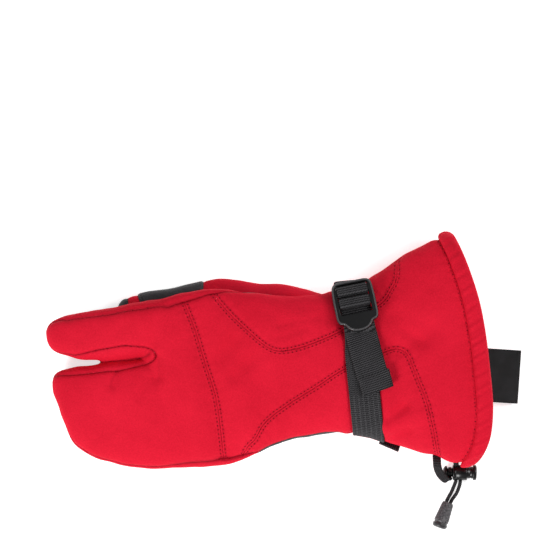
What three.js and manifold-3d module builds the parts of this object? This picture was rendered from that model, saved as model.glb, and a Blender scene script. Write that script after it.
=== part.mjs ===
// Snowmobile mitten with three fingers: a hollow padded shell sewn from red and black panels,
// with a rolled hem, a webbing wrist strap in a ladder lock buckle, and a drawcord lock.
// Millimetres. +X runs from the fingertips to the cuff, +Y is the thumb side, +Z is up.
// The mitten lies palm down on z = 0, with the thumb folded under the index side of the palm.

import * as THREE from 'three';
import { mergeVertices } from 'three/addons/utils/BufferGeometryUtils.js';
import Module from 'manifold-3d';

const wasm = await Module();
wasm.setup();

// Driving dimensions
const WALL = 4;                 // padded wall of the hand and the gauntlet
const THUMB_WALL = 3.5;         // padded wall of the thumb
const SEAM_GAP = 0.3;           // clear gap between two sewn panels
const ROUNDNESS = 2.6;          // exponent of the flattened oval sections
const AROUND = 20;              // points around a hand section
const WEB_WIDTH = 20;           // wrist webbing
const WEB_THICK = 1.5;
const LAYER_GAP = 0.3;          // clear gap between two layers of webbing
const CUFF_X = 108;             // where the gauntlet wall meets the hem, at the cuff's two edges
const CUFF_BOW = 13;            // how far the cuff's middle reaches beyond its edges
const HEM_WIDTH = 11;           // rolled hem, along X
const HEM_THICK = 8.6;
const LOCK_RADIUS = 4.6;        // barrel of the cord lock
const LOCK_TRAVEL = 3.5;        // how far the button goes into the barrel
const CORD_RADIUS = 1.2;        // elastic drawcord

// Materials
const softshell = new THREE.MeshStandardMaterial({ color: 0xcf1f33, roughness: 0.85 });
const leather = new THREE.MeshStandardMaterial({ color: 0x2c2b2d, roughness: 0.55 });
const webbing = new THREE.MeshStandardMaterial({ color: 0x26262a, roughness: 0.8 });
const plastic = new THREE.MeshStandardMaterial({ color: 0x151517, roughness: 0.3 });
const elastic = new THREE.MeshStandardMaterial({ color: 0x2a2a2c, roughness: 0.8 });
const rubber = new THREE.MeshStandardMaterial({ color: 0x55535a, roughness: 0.5 });
const satin = new THREE.MeshStandardMaterial({ color: 0x1b1b1d, roughness: 0.45 });

const mitten = new THREE.Group();

// A table's rows as objects with the column names as keys.
function table(columns, rows) {
  return rows.map((row) => Object.fromEntries(columns.map((name, i) => [name, row[i]])));
}

// The value of one column at x, straight between the rows.
function at(rows, x, column) {
  const last = rows.length - 1;
  if (x <= rows[0].x) return rows[0][column];
  if (x >= rows[last].x) return rows[last][column];
  const next = rows.findIndex((row) => row.x > x);
  const a = rows[next - 1];
  const b = rows[next];
  return THREE.MathUtils.mapLinear(x, a.x, b.x, a[column], b[column]);
}

// Solids
function toSolid(geometry) {
  const bare = geometry.clone();
  bare.deleteAttribute('normal');
  bare.deleteAttribute('uv');
  const merged = mergeVertices(bare, 1e-4);
  const solid = new wasm.Manifold(new wasm.Mesh({
    numProp: 3,
    vertProperties: new Float32Array(merged.attributes.position.array),
    triVerts: new Uint32Array(merged.index.array),
  }));
  return solid;
}

function addPiece(name, solid, material) {
  const { vertProperties, triVerts } = solid.getMesh();
  const geometry = new THREE.BufferGeometry();
  geometry.setAttribute('position', new THREE.BufferAttribute(new Float32Array(vertProperties), 3));
  geometry.setIndex(new THREE.BufferAttribute(new Uint32Array(triVerts), 1));
  const mesh = new THREE.Mesh(geometry, material);
  mesh.name = name;
  mitten.add(mesh);
}

// A closed solid through rings of points that are in step. Each end is closed by rungs between
// the points that mirror each other, so that an end keeps the curve of its ring.
function loft(rings) {
  const count = rings[0].length;
  const index = [];
  for (let k = 0; k + 1 < rings.length; k++) {
    for (let i = 0; i < count; i++) {
      const a = k * count + i;
      const b = k * count + ((i + 1) % count);
      index.push(a, b, a + count, b, b + count, a + count);
    }
  }
  const end = (rings.length - 1) * count;
  for (let i = 0; i < count / 2; i++) {
    const j = (count - i) % count;
    if (i > 0) index.push(i, j, i + 1, end + i, end + i + 1, end + j);
    if (i + 1 < count / 2) index.push(i + 1, j, j === 0 ? count - 1 : j - 1);
    if (i + 1 < count / 2) index.push(end + i + 1, end + (j === 0 ? count - 1 : j - 1), end + j);
  }
  const geometry = new THREE.BufferGeometry();
  geometry.setAttribute('position', new THREE.Float32BufferAttribute(
    rings.flat().flatMap((point) => point.toArray()), 3));
  geometry.setIndex(index);
  return toSolid(geometry);
}

// An upright prism on an outline of [x, y] points.
function prism(outline, zLow = -20, zHigh = 90) {
  const shape = new THREE.Shape(outline.map(([x, y]) => new THREE.Vector2(x, y)));
  const geometry = new THREE.ExtrudeGeometry(shape, { depth: zHigh - zLow, bevelEnabled: false });
  return toSolid(geometry.translate(0, 0, zLow));
}

function block(xLow, xHigh, yLow, yHigh, zLow, zHigh) {
  const geometry = new THREE.BoxGeometry(xHigh - xLow, yHigh - yLow, zHigh - zLow);
  geometry.translate((xLow + xHigh) / 2, (yLow + yHigh) / 2, (zLow + zHigh) / 2);
  return toSolid(geometry);
}

function joined(solids) {
  return solids.reduce((whole, solid) => whole.add(solid));
}

// The lie of the hand: the height of its middle surface at the little finger edge (y = -55)
// and at the index edge (y = 60), which the thumb underneath holds up.
const LIE_LOW_Y = -55;
const LIE_HIGH_Y = 60;
const lie = table(['x', 'low', 'high'], [
  [-157, 8.5, 16],
  [-143, 9, 17.5],
  [-117, 9.3, 27],
  [-104, 9.3, 31.5],
  [-90, 9.3, 34.5],
  [-36, 9.3, 34.5],
  [-5, 10, 31],
  [15, 11, 27],
  [33, 13, 23.5],
  [48, 15, 20],
  [60, 16.5, 18.5],
  [72, 18, 18],
  [85, 19.5, 19.5],
  [108, 21, 21],
]);

function middleHeight(x, y) {
  return THREE.MathUtils.mapLinear(y, LIE_LOW_Y, LIE_HIGH_Y, at(lie, x, 'low'), at(lie, x, 'high'));
}

// The cuff's edge bows outwards: round towards the little finger side, slanting to the thumb side.
const CUFF_MIDDLE_Y = 5;
const CUFF_HALF = 74.5;
const BOW_START_X = 60;

function bow(x, y) {
  const across = (y - CUFF_MIDDLE_Y) / CUFF_HALF;
  const sharpness = across < 0 ? 5 : 2;
  const share = THREE.MathUtils.clamp((x - BOW_START_X) / (CUFF_X - BOW_START_X), 0, 1);
  return CUFF_BOW * share * (1 - Math.abs(across) ** sharpness);
}

// Folds and dents in the back: a straight line from one end to the other, with its half width
// and its depth. A negative depth is a ridge.
const folds = table(['x0', 'y0', 'x1', 'y1', 'width', 'depth'], [
  [-115, 15, -116, 6, 5, 1.4],    // short crease below the fork
  [-84, 22, -85, 8, 6, 1.6],      // fold behind the fork
  [-57, 62, -43, -52, 9, 1.2],    // bend behind the knuckles
  [-36, 21, -18, -1, 9, 1.3],     // soft fold on the back of the hand
  [76, 12, 97, 20, 8, 1.8],       // dent beside the strap
  [61, -39, 84, -35, 7, -1.8],    // ridge from the strap's lower end
  [66, -6, 74, -10, 8, 1.4],      // dent below the tail
]);

function foldDepth(x, y) {
  let depth = 0;
  for (const fold of folds) {
    const along = new THREE.Vector2(fold.x1 - fold.x0, fold.y1 - fold.y0);
    const from = new THREE.Vector2(x - fold.x0, y - fold.y0);
    const share = THREE.MathUtils.clamp(from.dot(along) / along.lengthSq(), 0, 1);
    const away = from.sub(along.multiplyScalar(share)).length() / fold.width;
    depth += fold.depth * Math.exp(-away * away);
  }
  return depth;
}

// A flattened oval section across X. grow moves it outwards, or inwards when negative.
function power(value) {
  return Math.sign(value) * Math.abs(value) ** (2 / ROUNDNESS);
}

function sectionPoint(row, angle, grow = 0, height = middleHeight) {
  const across = power(Math.cos(angle));
  const up = power(Math.sin(angle));
  const y = (row.yLow + row.yHigh) / 2 + ((row.yHigh - row.yLow) / 2 + grow) * across;
  const dent = Math.max(0, up) * foldDepth(row.x, y);
  return new THREE.Vector3(row.x + bow(row.x, y), y, height(row.x, y) + (row.thick + grow) * up - dent);
}

function section(row, grow, height, count = AROUND) {
  return Array.from({ length: count }, (_, i) => (
    sectionPoint(row, (2 * Math.PI * i) / count, grow, height)));
}

const FLOOR_REACH = 250;
const aboveFloor = (z) => block(-FLOOR_REACH, FLOOR_REACH, -FLOOR_REACH, FLOOR_REACH, z, 120);

// Outer form: half thickness and the two edges of each section
const columns = ['x', 'yLow', 'yHigh', 'thick'];
const pocketRows = table(columns, [
  [-155.9, 4, 12, 3],
  [-153.6, -4, 16.4, 6.2],
  [-151, -13.5, 18.2, 8],
  [-147, -27, 19.4, 9.8],
  [-141.4, -34.6, 20.2, 11.4],
  [-134.8, -39.3, 20.4, 12.4],
  [-113.4, -48.7, 20.8, 13.8],
  [-98.6, -52, 21, 14],
  [-84, -53.6, 21, 13.6],
  [-70, -53, 20, 11],
]);
const indexRows = table(columns, [
  [-155.9, 38, 45, 3],
  [-154.3, 35, 48.3, 5.5],
  [-150, 30.8, 51.6, 8.5],
  [-143, 27.5, 54, 10.6],
  [-131, 23.4, 55.4, 11.8],
  [-117, 22, 56.5, 12.2],
  [-98, 21.8, 58, 12.3],
  [-80, 22, 58.4, 12],
  [-70, 23, 58, 10],
]);
const bodyRows = table(columns, [
  [-92, -52, 58.3, 9],
  [-86, -53.2, 58.8, 12.6],
  [-78, -54.1, 59.3, 14.2],
  [-64, -54.5, 61, 14.4],
  [-50, -55.2, 62, 14.4],
  [-37, -53.4, 60.9, 14.5],
  [-24.7, -49.6, 58, 14.8],
  [-12, -45.2, 55.6, 15.2],
  [16, -41.4, 51.4, 16.2],
  [30, -41.8, 51.2, 16.4],
  [41, -42, 52.2, 16.4],
  [50, -44.6, 54, 16.6],
  [59, -48.8, 56.8, 17.4],
  [70, -55.4, 63.8, 18.6],
  [83, -62, 71.2, 20],
  [95, -67, 75.6, 21],
  [CUFF_X, CUFF_MIDDLE_Y - CUFF_HALF, CUFF_MIDDLE_Y + CUFF_HALF, 21.6],
]);

// The thumb lies flat under the index side, its outer edge just showing beyond the hand.
const thumbRows = table([...columns, 'low', 'high'], [
  [-108, 46, 54, 3, 7.6, 7.8],
  [-106, 42, 58.5, 5, 7.4, 8],
  [-102, 38.8, 61.4, 6.6, 7, 8.3],
  [-95, 36.4, 62.8, 7.4, 6.8, 8.6],
  [-84, 34.6, 64, 7.8, 6.6, 9],
  [-68, 32, 64.6, 8, 6.6, 9.2],
  [-50, 28, 67, 8.2, 6.8, 9.6],
  [-40, 25.6, 68, 8.6, 7.2, 10],
  [-28, 22, 66.6, 9.4, 8.4, 11],
  [-14, 18.6, 62.8, 10.8, 11, 13],
  [2, 15.4, 60.6, 12, 14, 15.6],
  [16, 14, 56, 12, 17, 18],
  [30, 15, 50, 10.5, 19, 20],
  [40, 18, 46, 8, 20, 20],
]);

function thumbSections(grow, rows = thumbRows) {
  return rows.map((row) => section(row, grow, (x, y) => THREE.MathUtils.mapLinear(
    y, row.yLow, row.yHigh, row.low, row.high), 16));
}

function handOuter(grow = 0) {
  const lofts = [pocketRows, indexRows, bodyRows].map((rows) => (
    loft(rows.map((row) => section(row, grow)))));
  return joined(lofts).intersect(aboveFloor(0));
}

function thumbOuter(grow = 0) {
  return loft(thumbSections(grow)).intersect(aboveFloor(-grow));
}

// Inner form: the same sections drawn in by the wall, without the rows that close a tip.
// The gauntlet's runs on past its end, so that the cuff is open.
function innerRows(rows, wall) {
  const roomy = 2.4;
  return rows.filter((row) => row.thick - wall > roomy);
}

const cuffRow = { ...bodyRows[bodyRows.length - 1], x: CUFF_X + 20 };
const handInner = joined([
  loft(innerRows(pocketRows, WALL).map((row) => section(row, -WALL))),
  loft(innerRows(indexRows, WALL).map((row) => section(row, -WALL))),
  loft([...bodyRows.slice(1), cuffRow].map((row) => section(row, -WALL))),
]).intersect(aboveFloor(WALL));
const thumbInner = loft(thumbSections(-THUMB_WALL, innerRows(thumbRows, THUMB_WALL)))
  .intersect(aboveFloor(THUMB_WALL));

const hollow = handInner.add(thumbInner);
const handShell = handOuter().subtract(hollow);

// The seam surfaces between the back and the palm side follow the middle surface. Round the
// fingers and the hand they stand apart by twice half, with the side wall between them; behind
// it they meet. lift raises them at the little finger edge, where the palm leather comes up.
const sideSeam = table(['x', 'half', 'lift'], [
  [-170, 3.5, 0],
  [-155, 4.5, 0],
  [-150, 6, 0],
  [-141, 7.6, 0],
  [-90, 7.8, 0],
  [-50, 7, 0],
  [-32, 4.2, 1],
  [-20, SEAM_GAP / 2, 4],
  [0, SEAM_GAP / 2, 5],
  [32, SEAM_GAP / 2, 5],
  [42, SEAM_GAP / 2, 3],
  [56, SEAM_GAP / 2, 0],
  [150, SEAM_GAP / 2, 0],
]);
const SIDE_WALL_END_X = -21;

const seamStations = [...new Set([...sideSeam, ...lie].map((row) => row.x))].sort((a, b) => a - b);

// All that lies under a seam surface: the upper one for side 1, the lower one for side -1.
function under(side, offset) {
  const reach = 110;
  const bottom = -40;
  return loft(seamStations.map((x) => {
    const height = (y) => middleHeight(x, y) + (y < 0 ? at(sideSeam, x, 'lift') : 0)
      + side * at(sideSeam, x, 'half') + offset;
    return [[reach, height(reach)], [-reach, height(-reach)], [-reach, bottom], [reach, bottom]]
      .map(([y, z]) => new THREE.Vector3(x, y, z));
  }));
}

const backShell = handShell.subtract(under(1, 0));
const palmShell = handShell.intersect(under(-1, 0));
const sideWall = handShell
  .intersect(under(1, -SEAM_GAP).subtract(under(-1, SEAM_GAP)))
  .intersect(block(-FLOOR_REACH, SIDE_WALL_END_X, -FLOOR_REACH, FLOOR_REACH, -20, 120));

// Seams on the back and the palm, seen from above. Each runs past the edge of the mitten.
const knuckleSeam = [[-64, 75], [-62.6, 57.8], [-57.5, 38.4], [-53, 14.6], [-48.4, -9.2],
  [-47.5, -34.8], [-48, -75]];
const thumbSideSeam = [[-48, 75], [-42.2, 58.5], [-32.3, 43.6], [-21.6, 30.9], [-12.4, 21.4],
  [-3.4, 16.8], [10.2, 17.6], [25.5, 21.5], [39, 26.4], [65.2, 40.5], [73.4, 49.4], [78.3, 59.7],
  [80, 85]];
const heelSeam = [[-44, -75], [-32.5, -47.5], [-25.7, -40.2], [-17, -28.9], [-0.4, -18.5],
  [18.9, -9], [38.9, 1.1], [66.1, 9.1], [72.1, 10.1], [76.2, 8.9], [79.9, 4.7], [84.3, -10.1],
  [89.2, -28.4], [91.8, -51.6], [93, -85]];
const wristSeam = [[34, -90], [27, 0], [19, 90]];

// A thin upright wall along a seam, which leaves the gap between the panels on its two sides.
function seamWall(path) {
  const points = path.map(([x, y]) => new THREE.Vector2(x, y));
  const side = (sign) => points.map((point, i) => {
    const before = points[Math.max(0, i - 1)];
    const after = points[Math.min(points.length - 1, i + 1)];
    const along = after.clone().sub(before).normalize();
    return [point.x - along.y * sign * SEAM_GAP / 2, point.y + along.x * sign * SEAM_GAP / 2];
  });
  return prism([...side(1), ...side(-1).reverse()]);
}

const fingerRegion = prism([...knuckleSeam, [-180, -75], [-180, 75]]);
const thumbSideRegion = prism(thumbSideSeam);
const heelRegion = prism(heelSeam);
const wristRegion = prism([...wristSeam, [180, 90], [180, -90]]);
const wristWall = seamWall(wristSeam);

const knuckleWall = seamWall(knuckleSeam);
const thumbSideWall = seamWall(thumbSideSeam);
const heelWall = seamWall(heelSeam);
const notHandBack = joined([
  fingerRegion, thumbSideRegion, heelRegion, knuckleWall, thumbSideWall, heelWall]);

addPiece('finger_back', backShell.intersect(fingerRegion).subtract(knuckleWall), softshell);
addPiece('thumb_side_insert', backShell.intersect(thumbSideRegion).subtract(thumbSideWall), softshell);
addPiece('heel_insert', backShell.intersect(heelRegion).subtract(heelWall), softshell);
addPiece('hand_back', backShell.subtract(notHandBack), softshell);
addPiece('side_wall', sideWall, softshell);
addPiece('palm_leather', palmShell.subtract(wristRegion).subtract(wristWall), leather);
addPiece('gauntlet_palm', palmShell.intersect(wristRegion).subtract(wristWall), softshell);

// The thumb: leather over its inner face and its tip, softshell on its back, and a half-moon
// leather patch sewn on the back.
const thumbShell = thumbOuter().subtract(hollow).subtract(handOuter(SEAM_GAP));
const TIP_BAND_X = -100;
const PATCH_THICK = 1.2;
const SEAM_AT_LOW = -3;
const SEAM_AT_HIGH = 15;

// All that lies under the thumb's seam surface, moved up by offset.
function underThumbSeam(offset) {
  return loft(thumbRows.map((row) => {
    const height = (share) => offset
      + THREE.MathUtils.lerp(row.low + SEAM_AT_LOW, row.high + SEAM_AT_HIGH, share);
    return [[1.5, height(1.5)], [-0.5, height(-0.5)], [-0.5, -40], [1.5, -40]].map(([share, z]) => (
      new THREE.Vector3(row.x, THREE.MathUtils.lerp(row.yLow, row.yHigh, share), z)));
  }));
}

const PATCH_FACETS = 14;
const patchOval = { x: -71.2, y: 66.4, halfX: 22.3, halfY: 21 };
const patchOutline = (grow) => Array.from({ length: PATCH_FACETS }, (_, i) => {
  const angle = (2 * Math.PI * i) / PATCH_FACETS;
  return [patchOval.x + (patchOval.halfX + grow) * Math.cos(angle),
    patchOval.y + (patchOval.halfY + grow) * Math.sin(angle)];
});
const gapHalf = SEAM_GAP / 2;
const behindBand = block(TIP_BAND_X + gapHalf, FLOOR_REACH, -FLOOR_REACH, FLOOR_REACH, -20, 60);
const aheadOfBand = block(-150, TIP_BAND_X - gapHalf, -FLOOR_REACH, FLOOR_REACH, -20, 60);
const thumbTop = thumbShell.subtract(underThumbSeam(gapHalf));
const thumbBottom = thumbShell.intersect(underThumbSeam(-gapHalf)).intersect(behindBand);
const patchSeat = thumbOuter(1).subtract(thumbOuter(-PATCH_THICK - SEAM_GAP))
  .intersect(prism(patchOutline(SEAM_GAP)));
const patch = thumbOuter().subtract(thumbOuter(-PATCH_THICK)).intersect(prism(patchOutline(0)));
addPiece('thumb_leather', thumbTop.add(thumbShell.intersect(aheadOfBand)), leather);
addPiece('thumb_back', thumbBottom.subtract(patchSeat), softshell);
addPiece('thumb_patch', patch.intersect(underThumbSeam(-gapHalf)), leather);

// The hem: a rolled ring round the cuff's mouth, with shallow gathers.
const HEM_STEPS = 36;
const HEM_SIDES = 8;
const GATHERS = 9;
const GATHER_DEPTH = 0.35;
const HEM_HALF = CUFF_HALF - 1;
const hemRow = {
  x: CUFF_X,
  yLow: CUFF_MIDDLE_Y - HEM_HALF,
  yHigh: CUFF_MIDDLE_Y + HEM_HALF,
  thick: 19.4,
};

function ringSolid(rings) {
  const count = rings[0].length;
  const total = rings.length * count;
  const index = [];
  for (let k = 0; k < rings.length; k++) {
    for (let i = 0; i < count; i++) {
      const a = k * count + i;
      const b = k * count + ((i + 1) % count);
      index.push(a, (a + count) % total, b, b, (a + count) % total, (b + count) % total);
    }
  }
  const geometry = new THREE.BufferGeometry();
  geometry.setAttribute('position', new THREE.Float32BufferAttribute(
    rings.flat().flatMap((point) => point.toArray()), 3));
  geometry.setIndex(index);
  return toSolid(geometry);
}

const hemRings = Array.from({ length: HEM_STEPS }, (_, k) => {
  const angle = (2 * Math.PI * k) / HEM_STEPS;
  const centre = sectionPoint(hemRow, angle);
  const beyond = sectionPoint(hemRow, angle, 1);
  const out = new THREE.Vector2(beyond.y - centre.y, beyond.z - centre.z).normalize();
  const gather = 1 - GATHER_DEPTH / HEM_THICK * (1 + Math.cos(angle * GATHERS));
  return Array.from({ length: HEM_SIDES }, (_, i) => {
    const turn = (2 * Math.PI * (i + 0.5)) / HEM_SIDES;
    const radial = power(Math.cos(turn)) * HEM_THICK / 2 * gather;
    const lengthwise = power(Math.sin(turn)) * HEM_WIDTH / 2;
    const y = centre.y + out.x * radial;
    const reach = SEAM_GAP + HEM_WIDTH / 2 + lengthwise;
    return new THREE.Vector3(CUFF_X + bow(CUFF_X, y) + reach, y, centre.z + out.y * radial);
  });
});
const hem = ringSolid(hemRings).intersect(aboveFloor(0));
addPiece('hem', hem, softshell);

// The strap's rail: the line that the webbing follows round the wrist at x, as [y, z]. It lies on
// the wrist from the little finger edge, runs straight under the buckle, and turns down the
// thumb side. Distances along it are measured at RAIL_X, and v is the distance from the buckle.
const RAIL_X = 49;
const RAIL_LIFT = 1.05;
const BUCKLE_ANGLE = 50.5;
const BUCKLE_SLOPE = THREE.MathUtils.degToRad(-15);
const BUCKLE_TURN = THREE.MathUtils.degToRad(5.5);
const TAIL_TURN = THREE.MathUtils.degToRad(8);

function onWrist(x, angle, lift = RAIL_LIFT) {
  const row = { x };
  for (const name of ['yLow', 'yHigh', 'thick']) row[name] = at(bodyRows, x, name);
  const point = sectionPoint(row, THREE.MathUtils.degToRad(angle), lift);
  return new THREE.Vector2(point.y, point.z);
}

const buckleSeat = onWrist(RAIL_X, BUCKLE_ANGLE);

function underBuckle(v, drop = 0) {
  return new THREE.Vector2(
    buckleSeat.x + v * Math.cos(BUCKLE_SLOPE), buckleSeat.y + v * Math.sin(BUCKLE_SLOPE) - drop);
}

const underAngles = [188, 180, 172, 160, 145, 128, 110, 92, 76];
const straightRun = [-14, -7, 0, 5, 10, 14, 15.5];
const turnDown = [[17, 2], [16.9, 5.8]];
const downAngles = [-6, -12];

function railAt(x) {
  return new THREE.SplineCurve([
    ...underAngles.map((angle) => onWrist(x, angle)),
    ...straightRun.map((v) => underBuckle(v)),
    ...turnDown.map(([v, drop]) => underBuckle(v, drop)),
    ...downAngles.map((angle) => onWrist(x, angle)),
  ]);
}

const middleRail = railAt(RAIL_X);
middleRail.arcLengthDivisions = 400;
const railLength = middleRail.getLength();
const seatShare = (underAngles.length + straightRun.indexOf(0)) / (middleRail.points.length - 1);
const seatDistance = middleRail.getLengths()[Math.round(middleRail.arcLengthDivisions * seatShare)];

// A point of the webbing: v along the rail, h above it, across from its middle line, leaning by turn.
function onRail(v, h, across, turn) {
  const x = RAIL_X + across * Math.cos(turn) - v * Math.sin(turn);
  const along = across * Math.sin(turn) + v * Math.cos(turn);
  const share = THREE.MathUtils.clamp((seatDistance + along) / railLength, 0, 1);
  const t = middleRail.getUtoTmapping(share);
  const curve = railAt(x);
  const point = curve.getPoint(t);
  const slope = curve.getTangent(t);
  return new THREE.Vector3(x, point.x - slope.y * h, point.y + slope.x * h);
}

// A webbing strip along a path of [v, h] points, with square corners. turn(v, h) is its lean.
function webbingStrip(path, turn) {
  const points = path.map(([v, h]) => new THREE.Vector2(v, h));
  return loft(points.map((point, i) => {
    const normals = [points[i - 1], points[i + 1]].map((other, k) => {
      if (!other) return null;
      const along = k ? other.clone().sub(point) : point.clone().sub(other);
      return new THREE.Vector2(-along.y, along.x).normalize();
    }).filter(Boolean);
    const out = normals.reduce((sum, normal) => sum.clone().add(normal)).normalize();
    out.multiplyScalar(WEB_THICK / 2 / out.dot(normals[0]));
    return [[1, 1], [-1, 1], [-1, -1], [1, -1]].map(([side, face]) => {
      const at = point.clone().addScaledVector(out, face);
      return onRail(at.x, at.y, side * WEB_WIDTH / 2, turn(point.x, point.y));
    }).reverse();
  }));
}

// Points along a straight run at one height, close enough to bend.
function run(from, to, h) {
  const steps = Math.max(1, Math.round(Math.abs(to - from) / 6));
  return Array.from({ length: steps + 1 }, (_, i) => [THREE.MathUtils.lerp(from, to, i / steps), h]);
}

// The ladder lock buckle, with v along it: three slots, between the top rim, the anchor bar, the
// strap bar and the lift tab.
const TWO_LAYERS = 2 * WEB_THICK + LAYER_GAP;
const BUCKLE_LOW = TWO_LAYERS + LAYER_GAP;
const BUCKLE_THICK = 3;
const OVER_BARS = BUCKLE_LOW + BUCKLE_THICK + LAYER_GAP;
const SLOT_HALF = 10.6;
const strapBar = { low: 0.65, high: 4.25 };
const anchorBar = { low: 8.4, high: 11.9 };
const RIM_LOW = 14.5;
const TAB_HIGH = -5.5;
const buckleOutline = [[0, -16.8], [4.2, -16.2], [7.4, -14.2], [9.4, -11.5], [12.8, -10.6],
  [13.9, -8], [14, 4], [13.4, 13], [12.2, 15.8], [9.6, 16.8]];

const buckleShape = new THREE.Shape([
  ...buckleOutline.map(([u, v]) => new THREE.Vector2(u, v)),
  ...buckleOutline.slice(1).reverse().map(([u, v]) => new THREE.Vector2(-u, v)),
]);
const slots = table(['low', 'high'], [
  [TAB_HIGH, strapBar.low],
  [strapBar.high, anchorBar.low],
  [anchorBar.high, RIM_LOW],
]);
for (const { low, high } of slots) {
  const corners = [[-SLOT_HALF, low], [-SLOT_HALF, high], [SLOT_HALF, high], [SLOT_HALF, low]];
  buckleShape.holes.push(new THREE.Path(corners.map(([u, v]) => new THREE.Vector2(u, v))));
}
const buckle = new THREE.ExtrudeGeometry(buckleShape, { depth: BUCKLE_THICK, bevelEnabled: false });
buckle.translate(0, 0, BUCKLE_LOW);
buckle.rotateZ(BUCKLE_TURN);
buckle.rotateX(BUCKLE_SLOPE);
buckle.translate(RAIL_X, buckleSeat.x, buckleSeat.y);
addPiece('buckle', toSolid(buckle), plastic);

// The strap: up from the little finger edge under the buckle, round the strap bar, and back over
// itself as the tail.
const LOWER_LAYER = WEB_THICK / 2;
const UPPER_LAYER = WEB_THICK + LAYER_GAP + WEB_THICK / 2;
const BAR_LAYER = OVER_BARS + WEB_THICK / 2;
const BAR_CLEAR = LAYER_GAP + WEB_THICK / 2;
const strapStart = 2 - seatDistance;
const TAIL_END = -58;

function strapTurn(v, h) {
  if (h < UPPER_LAYER - WEB_THICK / 2) return BUCKLE_TURN * THREE.MathUtils.smoothstep(v, -34, -8);
  return THREE.MathUtils.lerp(BUCKLE_TURN, TAIL_TURN, THREE.MathUtils.smoothstep(-v, 6, -TAIL_END));
}

addPiece('wrist_strap', webbingStrip([
  ...run(strapStart, strapBar.high + BAR_CLEAR, LOWER_LAYER),
  ...run(strapBar.high + BAR_CLEAR, strapBar.low - BAR_CLEAR, BAR_LAYER),
  ...run(strapBar.low - BAR_CLEAR, TAIL_END, UPPER_LAYER),
], strapTurn), webbing);

// The anchor: a loop round the anchor bar. Its short end is sewn down under the rim, and the long
// one runs on down the side.
const anchorEnd = railLength - seatDistance - 2;
const ANCHOR_FOLD = 13.4;
addPiece('strap_anchor', webbingStrip([
  ...run(anchorEnd, anchorBar.low - BAR_CLEAR, LOWER_LAYER),
  ...run(anchorBar.low - BAR_CLEAR, anchorBar.high + BAR_CLEAR, BAR_LAYER),
  ...run(anchorBar.high + BAR_CLEAR, ANCHOR_FOLD, UPPER_LAYER),
], () => BUCKLE_TURN), webbing);

// The cord lock: a barrel with a necked round end and a spring button, lying beside the cuff.
// Its axis starts at LOCK_START and leans by LOCK_TURN from +X.
const LOCK_START = [95.7, -75.4];
const LOCK_TURN = THREE.MathUtils.degToRad(-6);
const LOCK_FACETS = 14;
const NECK_RADIUS = 2.3;
const neck = { low: 3.4, high: 6.4 };
const BARREL_END = 13.8;
const BORE_RADIUS = 3.4;
const BORE_END = 7.2;
const STEM_RADIUS = 3.05;
const HEAD_START = BARREL_END + LAYER_GAP + LOCK_TRAVEL;
const STEM_START = BORE_END + LAYER_GAP + LOCK_TRAVEL;
const LOCK_LENGTH = 22.7;

function onLockAxis(geometry) {
  geometry.rotateZ(-Math.PI / 2);
  geometry.rotateZ(LOCK_TURN);
  return geometry.translate(LOCK_START[0], LOCK_START[1], LOCK_RADIUS);
}

function lathe(profile, facets = LOCK_FACETS) {
  return new THREE.LatheGeometry(profile.map(([r, t]) => new THREE.Vector2(r, t)), facets);
}

const lockBody = onLockAxis(lathe([
  [0, 0], [2.4, 0.4], [4, 1.6], [4.2, 2.6], [NECK_RADIUS, neck.low], [NECK_RADIUS, neck.high],
  [LOCK_RADIUS, neck.high + 0.6], [LOCK_RADIUS, BARREL_END], [BORE_RADIUS, BARREL_END],
  [BORE_RADIUS, BORE_END], [0, BORE_END],
]));
addPiece('cord_lock_body', toSolid(lockBody), plastic);

const lockButton = onLockAxis(lathe([
  [0, STEM_START], [STEM_RADIUS, STEM_START], [STEM_RADIUS, HEAD_START], [4.4, HEAD_START],
  [4.4, LOCK_LENGTH - 1.4], [3.4, LOCK_LENGTH], [0, LOCK_LENGTH],
]));
addPiece('cord_lock_button', toSolid(lockButton), plastic);

// The tape that ties the lock to the cuff's seam: a flat strip, one row per bend, which goes over
// the lock's round end and round its neck. turn is the angle of its width from +X.
const TAPE_THICK = 1.1;
const TAPE_GAP = 0.3;
const NECK_TAPE_WIDTH = 2.4;
const neckMiddle = onLockAxis(new THREE.BufferGeometry().setFromPoints([
  new THREE.Vector3(0, (neck.low + neck.high) / 2, 0)])).attributes.position;
const tapeRows = table(['x', 'y', 'z', 'turn', 'width'], [
  [91.3, -65.6, 22.3, -8, 5.5],
  [91.5, -69.8, 18.6, -8, 5.5],
  [92.6, -73.2, 13.6, -2, 5.5],
  [94.7, -77.2, 10.6, 12, 5.5],
  [97.7, -80.5, 8.3, 22, 5],
  [99.9, -80.2, 6.4, 8, 3.4],
  ...[182, 215, 250, 290, 330, 10, 45, 80].map((degrees) => {
    const angle = THREE.MathUtils.degToRad(degrees);
    const radius = NECK_RADIUS + TAPE_GAP + TAPE_THICK / 2;
    const aside = radius * Math.cos(angle);
    return [neckMiddle.getX(0) - aside * Math.tan(LOCK_TURN), neckMiddle.getY(0) + aside,
      LOCK_RADIUS + radius * Math.sin(angle), THREE.MathUtils.radToDeg(LOCK_TURN), NECK_TAPE_WIDTH];
  }),
]);
const tapeCentres = tapeRows.map((row) => new THREE.Vector3(row.x, row.y, row.z));
addPiece('lock_tape', loft(tapeCentres.map((centre, i) => {
  const before = tapeCentres[Math.max(0, i - 1)];
  const after = tapeCentres[Math.min(tapeCentres.length - 1, i + 1)];
  const along = after.clone().sub(before).normalize();
  const turn = THREE.MathUtils.degToRad(tapeRows[i].turn);
  const wide = new THREE.Vector3(Math.cos(turn), Math.sin(turn), 0);
  const up = along.clone().cross(wide).normalize();
  return [[1, 1], [-1, 1], [-1, -1], [1, -1]].map(([side, face]) => centre.clone()
    .addScaledVector(wide, side * tapeRows[i].width / 2).addScaledVector(up, face * TAPE_THICK / 2));
})), webbing);

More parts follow.
